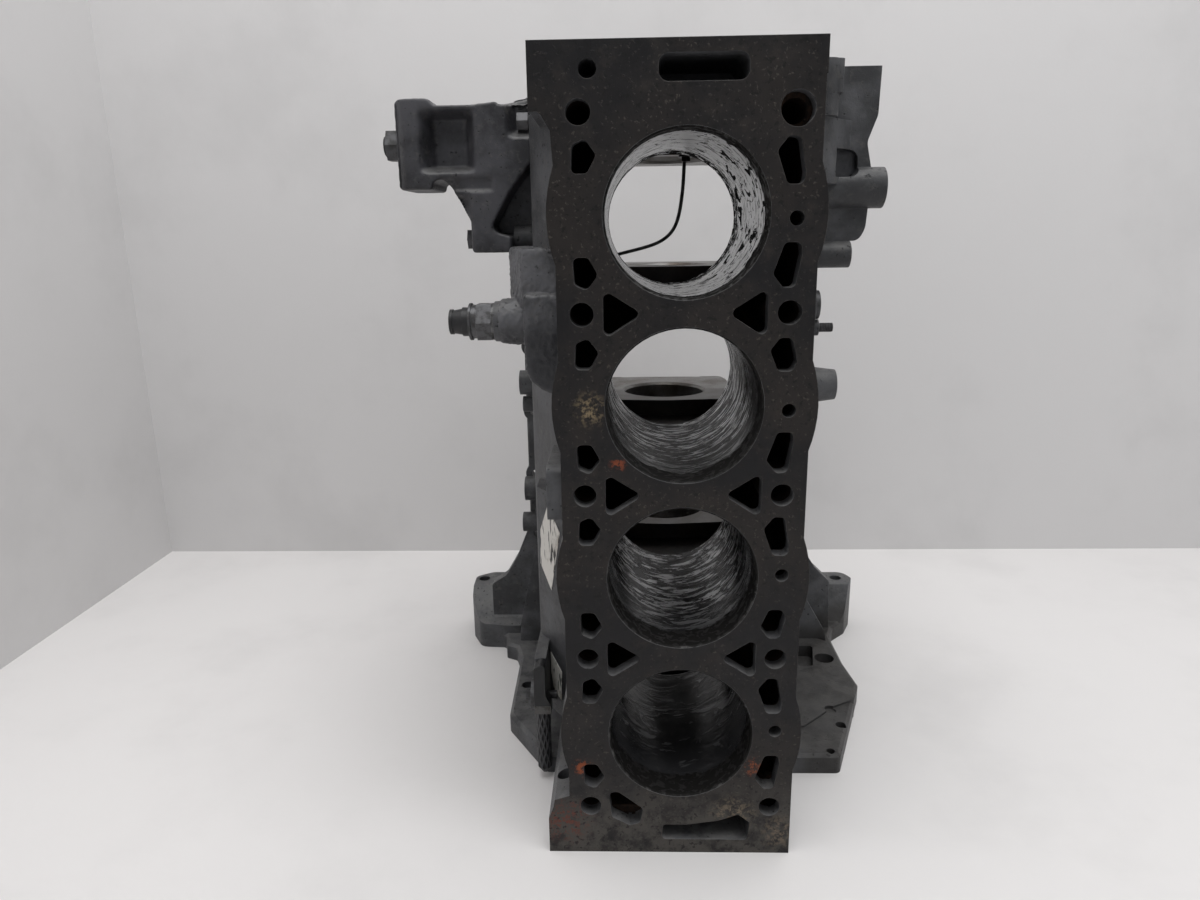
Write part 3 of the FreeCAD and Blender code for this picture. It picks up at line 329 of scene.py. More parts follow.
def block_zones(finish):
    x, y, z = finish.axes(finish.place)
    ny, nz = finish.axes(finish.facing)[1:]
    zones = {"x": x, "y": y, "z": z}
    from_first = z - (FIRST_BORE_Z - BORE_PITCH / 2)
    index = finish.maths("FLOOR", from_first / BORE_PITCH)
    along = from_first - index * BORE_PITCH - BORE_PITCH / 2
    radius = finish.maths("SQRT", x * x + along * along)
    rows = (z > FIRST_BORE_Z - BORE_PITCH / 2) * (z < FIRST_BORE_Z + 3.5 * BORE_PITCH)
    side_width = finish.maths("ABSOLUTE", x)
    zones["index"] = index
    zones["deck"] = (y < DECK_Y + 0.0004) * (ny < -0.9)
    zones["bore"] = (radius < BORE_RADIUS + 0.0008) * rows * (y < BORE_FOOT_Y) * (1 - zones["deck"])
    zones["chamfer"] = zones["bore"] * (radius > BORE_RADIUS + 0.0001)
    tunnel = finish.maths("SQRT", x * x + y * y)
    saddle = (finish.maths("ABSOLUTE", nz) > 0.9) * (side_width < 0.063) * (y > -0.049)
    ends = finish.maths("MAXIMUM", (z > BLOCK_LENGTH - 0.0003) * (nz > 0.9), (z < 0.0003) * (nz < -0.9))
    flats = finish.maths("MAXIMUM", (y > 0.0576) * (ny > 0.9) * (y < 0.0584),
                         (y > -0.0004) * (ny > 0.9) * (y < 0.0004))
    round_seat = (tunnel < TUNNEL_RADIUS + 0.0025) * (side_width < 0.04)
    machined = finish.maths("MAXIMUM", finish.maths("MAXIMUM", saddle, ends),
                            finish.maths("MAXIMUM", flats, round_seat))
    zones["machined"] = machined * (1 - zones["bore"])
    inner_line = finish.maths("MINIMUM", (y + 0.108) * 0.5206 + 0.0642, (y + 0.045) * 0.068 + 0.0970) + 0.002
    inside = (side_width < inner_line) * (y > -0.1084) * (z > 0.0165) * (z < BLOCK_LENGTH - 0.0175)
    zones["inside"] = inside * (1 - machined) * (1 - zones["bore"])
    jacket = (side_width < 0.0665) * (y > DECK_Y + 0.0095) * (y < -0.1195) * (radius > BORE_RADIUS + 0.004)
    zones["jacket"] = jacket * (z > 0.02) * (z < BLOCK_LENGTH - 0.02)
    return zones


# %% [markdown]
# ## Painted iron casting
#
# Outside, the iron is as it came out of the sand, under thin dark grey paint. The grain of the sand
# shows through the paint as fine bumps, over slower waves. Edges have lost some paint and shine a
# little. What faces upwards is paler, partly for dust lying there and partly as painted light from
# the lamp above. The same recipe serves the block, the bracket, the caps and the rough skins, so it
# is a function. It returns a colour, a roughness and a surface direction, and after them the wear
# along edges and the softened direction, which only the block needs.

# %% Casting recipe
def casting(finish, paint, worn, grain_size=0.0007):
    soft = finish.rounded(0.0007)
    wear = finish.wear(soft)
    patches = finish.noise(28.0, 5.0, 0.62)
    dust = finish.noise(170.0, 4.0, 0.7)
    grain = finish.noise(1.0 / grain_size, 3.0, 0.6)
    waves = finish.noise(110.0, 3.0, 0.5)
    pits = finish.step(finish.noise(420.0, 2.0, 0.4), 0.66, 0.74)
    up = finish.axes(finish.facing)[2]
    tone = finish.mix(finish.step(patches, 0.38, 0.64), tuple(0.55 * c for c in paint),
                      tuple(1.35 * c for c in paint))
    tone = finish.mix(finish.step(dust, 0.52, 0.74) * 0.45, tone, (0.110, 0.105, 0.098))
    # Paler on upward faces: settled dust, and painted light falling on the tops.
    dust_and_top_light = finish.step(up, 0.15, 0.85) * finish.step(finish.noise(60.0, 5.0, 0.65), 0.32, 0.66)
    tone = finish.mix(dust_and_top_light * 0.75, tone, (0.150, 0.148, 0.145))
    tone = finish.mix(wear * finish.step(patches, 0.30, 0.60) * 0.75, tone, worn)
    tone = finish.mix(pits * 0.8, tone, (0.006, 0.006, 0.006))
    rough = finish.step(patches, 0.2, 0.8) * 0.20 + 0.34
    height = grain * 0.45 + waves * 1.1 - pits * 0.7
    return tone, rough, finish.bump(height, 0.00060, 0.75, soft), wear, soft


# %% [markdown]
# ## Deck
#
# The deck was milled flat, and years of oil and coolant have turned it almost black and slightly
# brown. It has pale scrapes, crumbs of dirt and a few rust spots where water stood by the holes. Near
# the floor it is paler, partly for dust and partly as a painted reflection of the white floor.

# %% Look of the deck
DECK_SPOTS = [((-0.0595, DECK_Y, 0.0603), 0.0048, (0.23, 0.052, 0.014)),
              ((0.0455, DECK_Y, 0.0609), 0.0052, (0.22, 0.050, 0.014)),
              ((-0.0363, DECK_Y, 0.2531), 0.0036, (0.20, 0.045, 0.015)),
              ((-0.0708, DECK_Y, 0.0230), 0.0120, (0.11, 0.030, 0.018)),
              ((-0.0513, DECK_Y, 0.2844), 0.0070, (0.19, 0.145, 0.085)),
              ((0.0330, DECK_Y, 0.0260), 0.0110, (0.14, 0.110, 0.075)),
              ((0.0620, DECK_Y, 0.0150), 0.0090, (0.13, 0.100, 0.070))]


def deck_look(finish, z, wear, noises):
    """Colour, roughness and height of the deck."""
    stains, mottle, rust_noise = noises
    marks = finish.noise(1.0, 5.0, 0.7, finish.stretch((420.0, 40.0, 55.0), turn=(0.0, 0.5, 0.0)))
    tone = finish.mix(finish.step(stains, 0.38, 0.66), (0.0068, 0.0064, 0.0073), (0.0162, 0.0134, 0.0122))
    tone = finish.mix(finish.step(mottle, 0.52, 0.72) * 0.5, tone, (0.0300, 0.0245, 0.0210))
    tone = finish.mix(finish.step(marks, 0.66, 0.84) * 0.35, tone, (0.070, 0.062, 0.052))
    # Paler near the floor: dust, and a painted reflection of the white floor.
    low_dust_and_floor_reflection = (1 - finish.step(z + mottle * 0.020, 0.024, 0.078)) * finish.step(mottle, 0.34, 0.58)
    tone = finish.mix(low_dust_and_floor_reflection * 0.85, tone, (0.068, 0.062, 0.055))
    crumbs = finish.step(finish.noise(430.0, 3.0, 0.6), 0.60, 0.66)
    tone = finish.mix(crumbs * finish.step(stains, 0.35, 0.60) * 0.8, tone, (0.052, 0.044, 0.037))
    stuck = finish.step(finish.noise(260.0, 4.0, 0.65), 0.57, 0.63)
    tone = finish.mix(stuck * 0.8, tone, (0.0040, 0.0038, 0.0038))
    worn_rim = wear * finish.step(mottle, 0.40, 0.56)
    tone = finish.mix(worn_rim * 0.6, tone, (0.11, 0.105, 0.10))
    for centre, radius, colour in DECK_SPOTS:
        spread = finish.near(centre, radius, radius * 0.8)
        tone = finish.mix(spread * finish.step(rust_noise, 0.47, 0.60), tone, colour)
    rough = finish.step(mottle, 0.3, 0.7) * 0.22 + 0.40
    return tone, rough, marks * 0.4 + mottle * 0.9 + crumbs * 0.5


# %% [markdown]
# ## Cylinders
#
# The cylinders were honed. Near the deck each has a ring of burnt carbon above the piston's travel.
# Below it the top cylinder is wiped to pale metal with black drips, the second is streaked round by a
# rag, and the two lower ones hold a film of dark oil, whose colour is painted a little paler as a
# painted sheen of the wet film. The streaks are noise that is squeezed along the cylinder, so they
# run round the wall. The camera looks along the walls, where any shiny surface mirrors the room, so
# dry grime has a second shader almost without shine, mixed in by its own mask.

# %% Look of the cylinders
def cylinder_look(finish, zones, mottle):
    """Colour, roughness, metal, height and grime of the cylinder walls."""
    index = zones["index"]
    depth = zones["y"] - DECK_Y
    rag = finish.noise(1.0, 3.0, 0.55, finish.stretch((30.0, 330.0, 30.0)), 0.8)
    smear = finish.noise(1.0, 4.0, 0.6, finish.stretch((52.0, 210.0, 52.0), turn=(0.22, 0.0, 0.18)), 1.2)
    wrinkle = finish.noise(1.0, 5.0, 0.55, finish.stretch((26.0, 46.0, 26.0), turn=(0.5, 0.2, 0.3)), 2.4)
    drips = finish.noise(1.0, 3.0, 0.5, finish.stretch((120.0, 60.0, 120.0)), 0.9)
    specks = finish.noise(1.0, 2.0, 0.5, finish.stretch((190.0, 210.0, 190.0)), 0.8)
    lip = finish.noise(1.0, 4.0, 0.6, finish.stretch((90.0, 90.0, 90.0)), 0.8)
    haze = finish.noise(1.0, 4.0, 0.6, finish.stretch((60.0, 160.0, 60.0)), 1.2)
    hone = finish.noise(1.0, 2.0, 0.5, finish.stretch((500.0, 3600.0, 500.0), turn=(0.5, 0.0, 0.5)))
    is_top = index > 2.5
    is_second = (index > 1.5) * (index < 2.5)
    is_third = (index > 0.5) * (index < 1.5)
    is_lowest = index < 0.5
    foot = finish.step(depth + lip * 0.05, 0.140, 0.158)
    above = finish.step(depth, 0.010, 0.060)
    top_film = finish.maths("MAXIMUM", finish.step(specks, 0.63, 0.65),
                            finish.step(drips, 0.59, 0.62) * finish.step(zones["x"], 0.006, 0.026))
    top_film = finish.maths("MAXIMUM", top_film, finish.step(haze, 0.50, 0.68) * 0.45)
    top_film = finish.maths("MAXIMUM", top_film, foot * finish.step(specks, 0.40, 0.44))
    second_film = 1 - finish.step(rag, 0.47, 0.54) * finish.step(haze, 0.36, 0.56) * (above * 0.65 + 0.35)
    third_film = 1 - finish.step(smear, 0.49, 0.53) * finish.step(haze, 0.34, 0.52) * above
    lowest_film = 1 - finish.step(wrinkle, 0.57, 0.62) * finish.step(rag, 0.36, 0.52) * 0.35 * above
    film = is_top * top_film + is_second * second_film + is_third * third_film + is_lowest * lowest_film
    carbon_edge = lip * 0.016 + 0.0075 + 0.0040 * (index < 2.5)
    carbon = finish.step(carbon_edge - depth, -0.0012, 0.0012)
    # The lower two films are paler: dark oil, with a painted sheen in its colour.
    oil = finish.mix(index < 1.5, (0.012, 0.012, 0.013), (0.030, 0.030, 0.032))
    tone = finish.mix(film, (0.62, 0.625, 0.635), oil)
    tone = finish.mix(carbon, tone, (0.016, 0.015, 0.015))
    tone = finish.mix(zones["chamfer"] * finish.step(mottle, 0.48, 0.60), tone, (0.070, 0.068, 0.066))
    metal = (1 - film) * (1 - carbon) * 0.9
    rough = carbon * 0.30 + (1 - film) * 0.12 + 0.19
    dry = is_top * top_film + is_second * second_film * 0.62 + is_third * third_film * 0.25
    grime = zones["bore"] * finish.maths("MAXIMUM", dry, carbon * finish.step(specks, 0.38, 0.50) * 0.85)
    wet = (1 - carbon) * (index < 1.5)
    height = film * 0.8 + rag * 0.5 + smear * 0.6 + wet * wrinkle * 3.5
    height = height + carbon * specks * 0.8 + hone * 0.05
    return tone, rough, metal, height, grime


# %% [markdown]
# ## The whole block
#
# The zones are laid over the paint one by one, each with its colour and its roughness. Machined
# surfaces lean by a fine bump of their own and not by the sand's.

# %% Finish of the block
def block_finish():
    finish = Finish("block_iron")
    zones = block_zones(finish)
    tone, rough, direction, wear, soft = casting(finish, (0.068, 0.069, 0.073), (0.19, 0.19, 0.20))
    x, z = zones["x"], zones["z"]
    oily_flange = finish.step(x, 0.085, 0.100) * (1 - finish.step(z, 0.022, 0.036))
    tone = finish.mix(oily_flange * 0.6, tone, (0.024, 0.021, 0.018))
    stains = finish.noise(16.0, 6.0, 0.65, distortion=0.4)
    mottle = finish.noise(75.0, 6.0, 0.7)
    rust_noise = finish.noise(330.0, 5.0, 0.7)
    deck_tone, deck_rough, deck_height = deck_look(finish, z, wear, (stains, mottle, rust_noise))
    wall, wall_rough, wall_metal, wall_height, grime = cylinder_look(finish, zones, mottle)
    cut_marks = finish.noise(1.0, 3.0, 0.6, finish.stretch((1500.0, 90.0, 1500.0)))
    bare = finish.mix(finish.step(stains, 0.35, 0.70), (0.22, 0.215, 0.21), (0.10, 0.085, 0.075))
    inner = finish.mix(finish.step(stains, 0.35, 0.65), (0.018, 0.015, 0.013), (0.052, 0.040, 0.030))
    scale = finish.mix(finish.step(rust_noise, 0.4, 0.6), (0.014, 0.010, 0.008), (0.036, 0.020, 0.012))
    layers = (("inside", inner, 0.36), ("jacket", scale, 0.85), ("machined", bare, 0.42),
              ("deck", deck_tone, deck_rough), ("bore", wall, wall_rough))
    for zone, colour, roughness in layers:
        tone = finish.mix(zones[zone], tone, colour)
        rough = finish.blend(zones[zone], rough, roughness)
    metal = zones["bore"] * wall_metal + zones["machined"] * 0.75
    smooth = finish.maths("MAXIMUM", finish.maths("MAXIMUM", zones["deck"], zones["bore"]), zones["machined"])
    height = zones["deck"] * deck_height + zones["bore"] * wall_height + zones["machined"] * cut_marks * 0.15
    fine = finish.bump(height, 0.00022, 0.7, soft)
    leaning = finish.node("ShaderNodeMix", {"data_type": "VECTOR"},
                          {0: smooth, 4: direction, 5: fine}, output=1)
    iron = finish.node("ShaderNodeBsdfPrincipled",
                       values={"Specular IOR Level": 0.28, "Base Color": tone, "Roughness": rough,
                               "Metallic": metal, "Normal": leaning})
    dirt = finish.node("ShaderNodeBsdfPrincipled",
                       values={"Specular IOR Level": 0.05, "Base Color": (0.010, 0.0095, 0.009, 1.0),
                               "Roughness": 0.9})
    finish.node_output(finish.node("ShaderNodeMixShader", values={0: grime, 1: iron, 2: dirt}))
    return finish.material


def wear_finish(node_name, material):
    for slot in nodes[node_name].material_slots:
        slot.material = material


wear_finish("cylinder_block", block_finish())
print("block finished")

# %% [markdown]
# ## Bracket, caps and bolts
#
# The mount bracket is a separate casting in darker, slightly bluer paint. The bearing
# caps are bare cast iron inside the crankcase, machined where they meet the block, and wet with oil.
# Bolts and plugs are steel: some were painted over with the block, others are dull zinc.

# %% Finishes of the smaller pieces
def bracket_finish():
    finish = Finish("bracket_iron")
    tone, rough, direction = casting(finish, (0.043, 0.043, 0.048), (0.16, 0.16, 0.17), 0.0009)[:3]
    return finish.surface({"Specular IOR Level": 0.34}, Base_Color=tone, Roughness=rough, Normal=direction)


def cap_finish():
    finish = Finish("cap_iron")
    tone, rough, direction = casting(finish, (0.085, 0.080, 0.075), (0.30, 0.30, 0.30))[:3]
    nz = finish.axes(finish.facing)[2]
    x, y = finish.axes(finish.place)[:2]
    tunnel = finish.maths("SQRT", x * x + y * y) < TUNNEL_RADIUS + 0.0025
    cut = finish.maths("MAXIMUM", finish.maths("ABSOLUTE", nz) > 0.9, tunnel)
    stains = finish.noise(40.0, 5.0, 0.6)
    bare = finish.mix(finish.step(stains, 0.35, 0.7), (0.30, 0.295, 0.29), (0.14, 0.12, 0.10))
    tone = finish.mix(cut, tone, bare)
    rough = finish.blend(cut, rough, 0.38)
    return finish.surface({}, Base_Color=tone, Roughness=rough, Metallic=cut * 0.75, Normal=direction)


def steel_finish(name, clean, dirty, roughness, metal, grain_size=0.0012):
    """Bolt, plug or washer steel: turned marks, dirt in patches and bright edges."""
    finish = Finish(name)
    soft = finish.rounded(0.0004)
    wear = finish.wear(soft)
    patches = finish.noise(190.0, 5.0, 0.65)
    grain = finish.noise(1.0 / grain_size, 4.0, 0.6)
    dirt = finish.step(patches, 0.42, 0.62)
    tone = finish.mix(dirt, clean, dirty)
    tone = finish.mix(wear * 0.6, tone, tuple(min(1.0, 1.9 * c + 0.05) for c in clean))
    rough = dirt * 0.2 + grain * 0.12 + (roughness - 0.06)
    shine = (1 - dirt * 0.6) * metal
    return finish.surface({}, Base_Color=tone, Roughness=rough, Metallic=shine,
                          Normal=finish.bump(grain * 0.6 + patches, 0.00012, 0.5, soft))


def plastic_finish(name, colour, roughness):
    finish = Finish(name)
    soft = finish.rounded(0.0005)
    wear = finish.wear(soft)
    grain = finish.noise(1400.0, 3.0, 0.6)
    dust = finish.noise(120.0, 4.0, 0.7)
    tone = finish.mix(finish.step(dust, 0.55, 0.80) * 0.35, colour, (0.070, 0.066, 0.062))
    tone = finish.mix(wear * 0.5, tone, (0.12, 0.12, 0.12))
    rough = finish.step(dust, 0.3, 0.8) * 0.25 + roughness
    return finish.surface({"Specular IOR Level": 0.4}, Base_Color=tone, Roughness=rough,
                          Normal=finish.bump(grain, 0.00008, 0.4, soft))


painted_steel = steel_finish("painted_bolt", (0.060, 0.060, 0.064), (0.028, 0.027, 0.027), 0.42, 0.35)
plug_steel = steel_finish("plug_steel_dull", (0.100, 0.097, 0.094), (0.045, 0.040, 0.036), 0.46, 0.45)
switch_steel = steel_finish("switch_zinc", (0.090, 0.090, 0.095), (0.040, 0.039, 0.039), 0.38, 0.45)
brass = steel_finish("terminal_brass", (0.42, 0.30, 0.13), (0.16, 0.11, 0.06), 0.34, 0.9)
washer_metal = steel_finish("washer_alloy", (0.12, 0.12, 0.12), (0.045, 0.043, 0.041), 0.45, 0.5)
strip_steel = steel_finish("strip_steel", (0.050, 0.048, 0.046), (0.016, 0.014, 0.013), 0.35, 0.6)
black_plastic = plastic_finish("black_plastic_moulded", (0.016, 0.016, 0.017), 0.38)

bracket_iron = bracket_finish()
cap_iron = cap_finish()
finishes = {
    "mount_bracket": bracket_iron,
    "main_cap_bolts": plug_steel, "cap_dowels": plug_steel,
    "core_plugs_right": plug_steel, "core_plugs_left": plug_steel,
    "front_gallery_plug": plug_steel, "rear_gallery_plug": plug_steel, "boss_end_plug": plug_steel,
    "right_round_plug": painted_steel, "right_stud": painted_steel,
    "oil_switch_washer": washer_metal, "oil_switch_body": switch_steel,
    "oil_switch_insulator": black_plastic, "oil_switch_terminal": brass,
    "bracket_top_bolts": painted_steel, "bracket_foot_bolt": painted_steel,
    "bracket_end_stud": painted_steel, "bracket_end_nut": painted_steel,
    "side_sensor": switch_steel, "sensor_bolt": painted_steel, "sensor_plug": black_plastic,
    "plug_clip": plug_steel, "web_strip": strip_steel, "strip_screw": strip_steel,
}
for number in range(1, 6):
    finishes["main_bearing_cap_" + str(number)] = cap_iron
for name, material in finishes.items():
    wear_finish(name, material)
print("finished", len(finishes), "nodes")

# %% [markdown]
# ## Paper and braid
#
# Two paper labels are stuck to the ledge. They are off-white, scuffed and smudged, with some dark
# blotches where print would be; no lettering is drawn. The lower one hangs in the shade, so its paper
# is painted paler as painted light, and it still looks white. The cable stub is in a woven black
# sleeve: two sets of diagonal stripes on the tube's own angle and height, which cross like the strands.

# %% Paper labels and braided sleeve
def paper_finish(name, clean, soiled):
    finish = Finish(name)
    fibre = finish.noise(900.0, 4.0, 0.7)
    smudge = finish.noise(85.0, 5.0, 0.65)
    tone = finish.mix(finish.step(smudge, 0.50, 0.72) * 0.7, clean, soiled)
    bars = finish.noise(1.0, 2.0, 0.4, finish.stretch((420.0, 420.0, 70.0)))
    blotch = finish.step(bars, 0.56, 0.60) * finish.step(finish.noise(60.0, 2.0), 0.42, 0.52)
    tone = finish.mix(blotch * 0.9, tone, (0.015, 0.015, 0.017))
    return finish.surface({"Specular IOR Level": 0.2}, Base_Color=tone, Roughness=fibre * 0.2 + 0.6,
                          Normal=finish.bump(fibre * 0.3 + smudge, 0.00035, 0.7))


def braid_finish():
    finish = Finish("braided_sleeve")
    low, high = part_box("cable_sleeve")
    axis_x, axis_y = (low.x + high.x) / 2, (low.y + high.y) / 2
    x, y, z = finish.axes(finish.place)
    angle = finish.maths("ARCTAN2", y - axis_y, x - axis_x)
    strands = 9.0
    turns = 2 * math.pi / 0.0115
    left = finish.maths("SINE", angle * strands + z * turns)
    right = finish.maths("SINE", angle * strands - z * turns)
    weave = finish.maths("MAXIMUM", left, right)
    tone = finish.mix(finish.step(weave, 0.2, 0.95), (0.006, 0.006, 0.007), (0.050, 0.050, 0.054))
    dust = finish.noise(260.0, 4.0, 0.7)
    tone = finish.mix(finish.step(dust, 0.58, 0.8) * 0.3, tone, (0.07, 0.065, 0.06))
    return finish.surface({}, Base_Color=tone, Roughness=dust * 0.2 + 0.42,
                          Normal=finish.bump(weave, 0.0006, 0.9))


wear_finish("upper_label", paper_finish("label_paper_scuffed", (0.66, 0.64, 0.60), (0.30, 0.27, 0.23)))
# Painted light: the lower label's paper is paler to make up for the shade it hangs in.
wear_finish("lower_label", paper_finish("label_paper_brightened", (0.86, 0.84, 0.78), (0.48, 0.43, 0.36)))
wear_finish("cable_sleeve", braid_finish())
print("labels and sleeve finished")

# %% [markdown]
# ## Soft castings
#
# Sand casting leaves no sharp corner, and a CAD solid has many. A copy of a casting is turned into
# small even cells, which rounds it when it is smoothed, and Geometry Nodes then push its skin out a
# little with noise, for the sand. Whole pieces can be replaced this way, such as the bracket. On the
# block only the rough lump by the bracket gets such a skin, because deck and bores have to stay crisp.

# %% Skin tree and soft copies
def new_tree(name, inputs):
    """A tree with a geometry input, the named inputs, a material input and a geometry output."""
    tree = bpy.data.node_groups.new(name, "GeometryNodeTree")
    face = tree.interface
    face.new_socket("Geometry", in_out="INPUT", socket_type="NodeSocketGeometry")
    for label, kind in inputs:
        face.new_socket(label, in_out="INPUT", socket_type="NodeSocket" + kind)
    face.new_socket("Paint", in_out="INPUT", socket_type="NodeSocketMaterial")
    face.new_socket("Geometry", in_out="OUTPUT", socket_type="NodeSocketGeometry")
    return tree


def skin_tree():
    """Pushes a surface outwards by an even swell and by noise."""
    tree = new_tree("cast_skin", [("Swell", "Float"), ("Roughness", "Float"), ("Grain", "Float")])
    add = tree.nodes.new
    link = tree.links.new
    given = add("NodeGroupInput")
    noise = add("ShaderNodeTexNoise")
    noise.noise_dimensions = "3D"
    noise.inputs["Detail"].default_value = 3.0
    link(given.outputs["Grain"], noise.inputs["Scale"])
    centred = add("ShaderNodeMath")
    centred.operation = "SUBTRACT"
    centred.inputs[1].default_value = 0.5
    link(noise.outputs[0], centred.inputs[0])
    height = add("ShaderNodeMath")
    height.operation = "MULTIPLY_ADD"
    link(centred.outputs[0], height.inputs[0])
    link(given.outputs["Roughness"], height.inputs[1])
    link(given.outputs["Swell"], height.inputs[2])
    outwards = add("GeometryNodeInputNormal")
    push = add("ShaderNodeVectorMath")
    push.operation = "SCALE"
    link(outwards.outputs[0], push.inputs[0])
    link(height.outputs[0], push.inputs["Scale"])
    move = add("GeometryNodeSetPosition")
    link(given.outputs["Geometry"], move.inputs["Geometry"])
    link(push.outputs[0], move.inputs["Offset"])
    finish_nodes(tree, given, move)
    return tree


def finish_nodes(tree, given, last):
    """Every tree ends in Realize Instances and Set Material."""
    real = tree.nodes.new("GeometryNodeRealizeInstances")
    paint = tree.nodes.new("GeometryNodeSetMaterial")
    out = tree.nodes.new("NodeGroupOutput")
    tree.links.new(last.outputs[0], real.inputs[0])
    tree.links.new(real.outputs[0], paint.inputs["Geometry"])
    tree.links.new(given.outputs["Paint"], paint.inputs["Material"])
    tree.links.new(paint.outputs[0], out.inputs[0])


def bake_nodes(start, tree, inputs, name):
    """Runs a tree on an object and returns the result as a plain piece."""
    modifier = start.modifiers.new("nodes", "NODES")
    modifier.node_group = tree
    for item in tree.interface.items_tree:
        if item.item_type == "SOCKET" and item.in_out == "INPUT" and item.name in inputs:
            modifier[item.identifier] = inputs[item.name]
    return bake(start, name)


def bake(start, name):
    """The evaluated object as a plain mesh of its own, kept inside the CAD box."""
    graph = bpy.context.evaluated_depsgraph_get()
    mesh = bpy.data.meshes.new_from_object(start.evaluated_get(graph), preserve_all_data_layers=True,
                                           depsgraph=graph)
    bpy.data.objects.remove(start)
    for vertex in mesh.vertices:
        for i in range(3):
            vertex.co[i] = min(max(vertex.co[i], cad_low[i] + 0.0001), cad_high[i] - 0.0001)
    mesh.name = name
    piece = bpy.data.objects.new(name, mesh)
    bpy.context.scene.collection.objects.link(piece)
    return piece


def start_object(mesh, name):
    made = bpy.data.objects.new(name, mesh)
    bpy.context.scene.collection.objects.link(made)
    return made


def shade_round(piece, degrees=40.0):
    for polygon in piece.data.polygons:
        polygon.use_smooth = True
    piece.data.set_sharp_from_angle(angle=math.radians(degrees))


def merged_copy(node_name):
    """The node's mesh with its loose triangles joined."""
    work = bmesh.new()
    work.from_mesh(nodes[node_name].data)
    bmesh.ops.remove_doubles(work, verts=work.verts, dist=2e-6)
    mesh = bpy.data.meshes.new(node_name + "_copy")
    work.to_mesh(mesh)
    work.free()
    return mesh


def add_box(mesh, low, high):
    work = bmesh.new()
    work.from_mesh(mesh)
    made = bmesh.ops.create_cube(work, size=1.0)
    for vertex in made["verts"]:
        vertex.co = [(low[i] + high[i]) / 2 + vertex.co[i] * (high[i] - low[i]) for i in range(3)]
    work.to_mesh(mesh)
    work.free()


def soften(start, cell, rounds):
    """Even cells, then smoothing."""
    cells = start.modifiers.new("cells", "REMESH")
    cells.mode = "VOXEL"
    cells.voxel_size = cell
    smooth = start.modifiers.new("smooth", "SMOOTH")
    smooth.factor = 0.5
    smooth.iterations = rounds


cast_skin = skin_tree()
print("skin tree:", len(cast_skin.nodes), "nodes")

# %% [markdown]
# ## Mount bracket
#
# The arm ends in a round pillar, with a deep recess beside it that has soft sloping walls, a shallow
# one below, and a fold down its leg. A CAD pocket has straight walls, so the front is filled flush, the
# whole is turned into even cells, and each front point is pushed back by a depth that is worked out
# from its place, as a sculptor's tool would. A thin web behind the leg fills the gap beside the block.
# The result stands for the CAD node.

# %% Mount bracket
BRACKET_TIP = -0.1740
# Left and right edge from the tip, foot, top, softness across, softness upwards, depth.
FRONT_HOLLOWS = [(0.0135, 0.0510, 0.4150, 0.4535, 0.0095, 0.0050, 0.0150),
                 (0.0690, 0.1100, 0.4345, 0.4800, 0.0060, 0.0060, 0.0075),
                 (0.0250, 0.0610, 0.4035, 0.4135, 0.0030, 0.0020, 0.0026)]


def slope(value, start, end):
    share = min(max((value - start) / (end - start), 0.0), 1.0)
    return share * share * (3 - 2 * share)


def patch(x, z, left, right, low, high, side_soft, height_soft):
    """1 in a rectangle of the front face, falling to 0 over the soft margins inside its edges."""
    across = slope(x, left, left + side_soft) * (1 - slope(x, right - side_soft, right))
    upwards = slope(z, low, low + height_soft) * (1 - slope(z, high - height_soft, high))
    return across * upwards


def front_depth(x, z, tip):
    """How far the front lies back from its plane."""
    hollows = sum(depth * patch(x, z, tip + left, tip + right, low, high, side_soft, height_soft)
                  for left, right, low, high, side_soft, height_soft, depth in FRONT_HOLLOWS)
    leg = 0.0060 * (1 - slope(x, tip + 0.0385, tip + 0.0480)) * (1 - slope(z, 0.3985, 0.4040))
    pillar = 0.0030 * (1 - slope(x, tip, tip + 0.0075))
    return hollows + leg + pillar


def bracket_piece():
    mesh = merged_copy("mount_bracket")
    low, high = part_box("mount_bracket")
    front = low.y
    add_box(mesh, (low.x + 0.012, front + 0.0001, 0.4155), (low.x + 0.050, front + 0.0200, 0.4525))
    add_box(mesh, (high.x - 0.0320, front + 0.0001, 0.4350), (high.x - 0.0005, front + 0.0160, 0.4550))
    add_box(mesh, (-0.1190, front + 0.0220, 0.3750), (-0.0860, front + 0.0290, 0.4400))
    start = start_object(mesh, "bracket_start")
    soften(start, 0.0009, 5)
    solid = bake(start, "bracket_solid")
    for vertex in solid.data.vertices:
        if vertex.normal.y < -0.3 and vertex.co.y < front + 0.0050:
            vertex.co.y += front_depth(vertex.co.x, vertex.co.z, BRACKET_TIP)
    ease = solid.modifiers.new("ease", "SMOOTH")
    ease.iterations = 6
    return bake_nodes(solid, cast_skin, {"Swell": 0.0004, "Roughness": 0.0004, "Grain": 420.0,
                                         "Paint": bracket_iron}, "bracket_casting")


bracket = bracket_piece()
shade_round(bracket, 60.0)
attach(bracket, "root")
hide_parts("mount_bracket")
print("bracket", len(bracket.data.polygons), "faces")

# %% [markdown]
# ## Rough lump and filled window
#
# Beside the bracket the core box of the casting was worn, and the iron is as rough as coarse sand. A
# skin is cut from the block there with a box, softened, and pushed out by about a millimetre, so it
# covers the sharp CAD surface. On the other side the accessory housing has a window, and a softened
# body fills it up to a shallow hollow. The housing itself keeps its CAD surface.

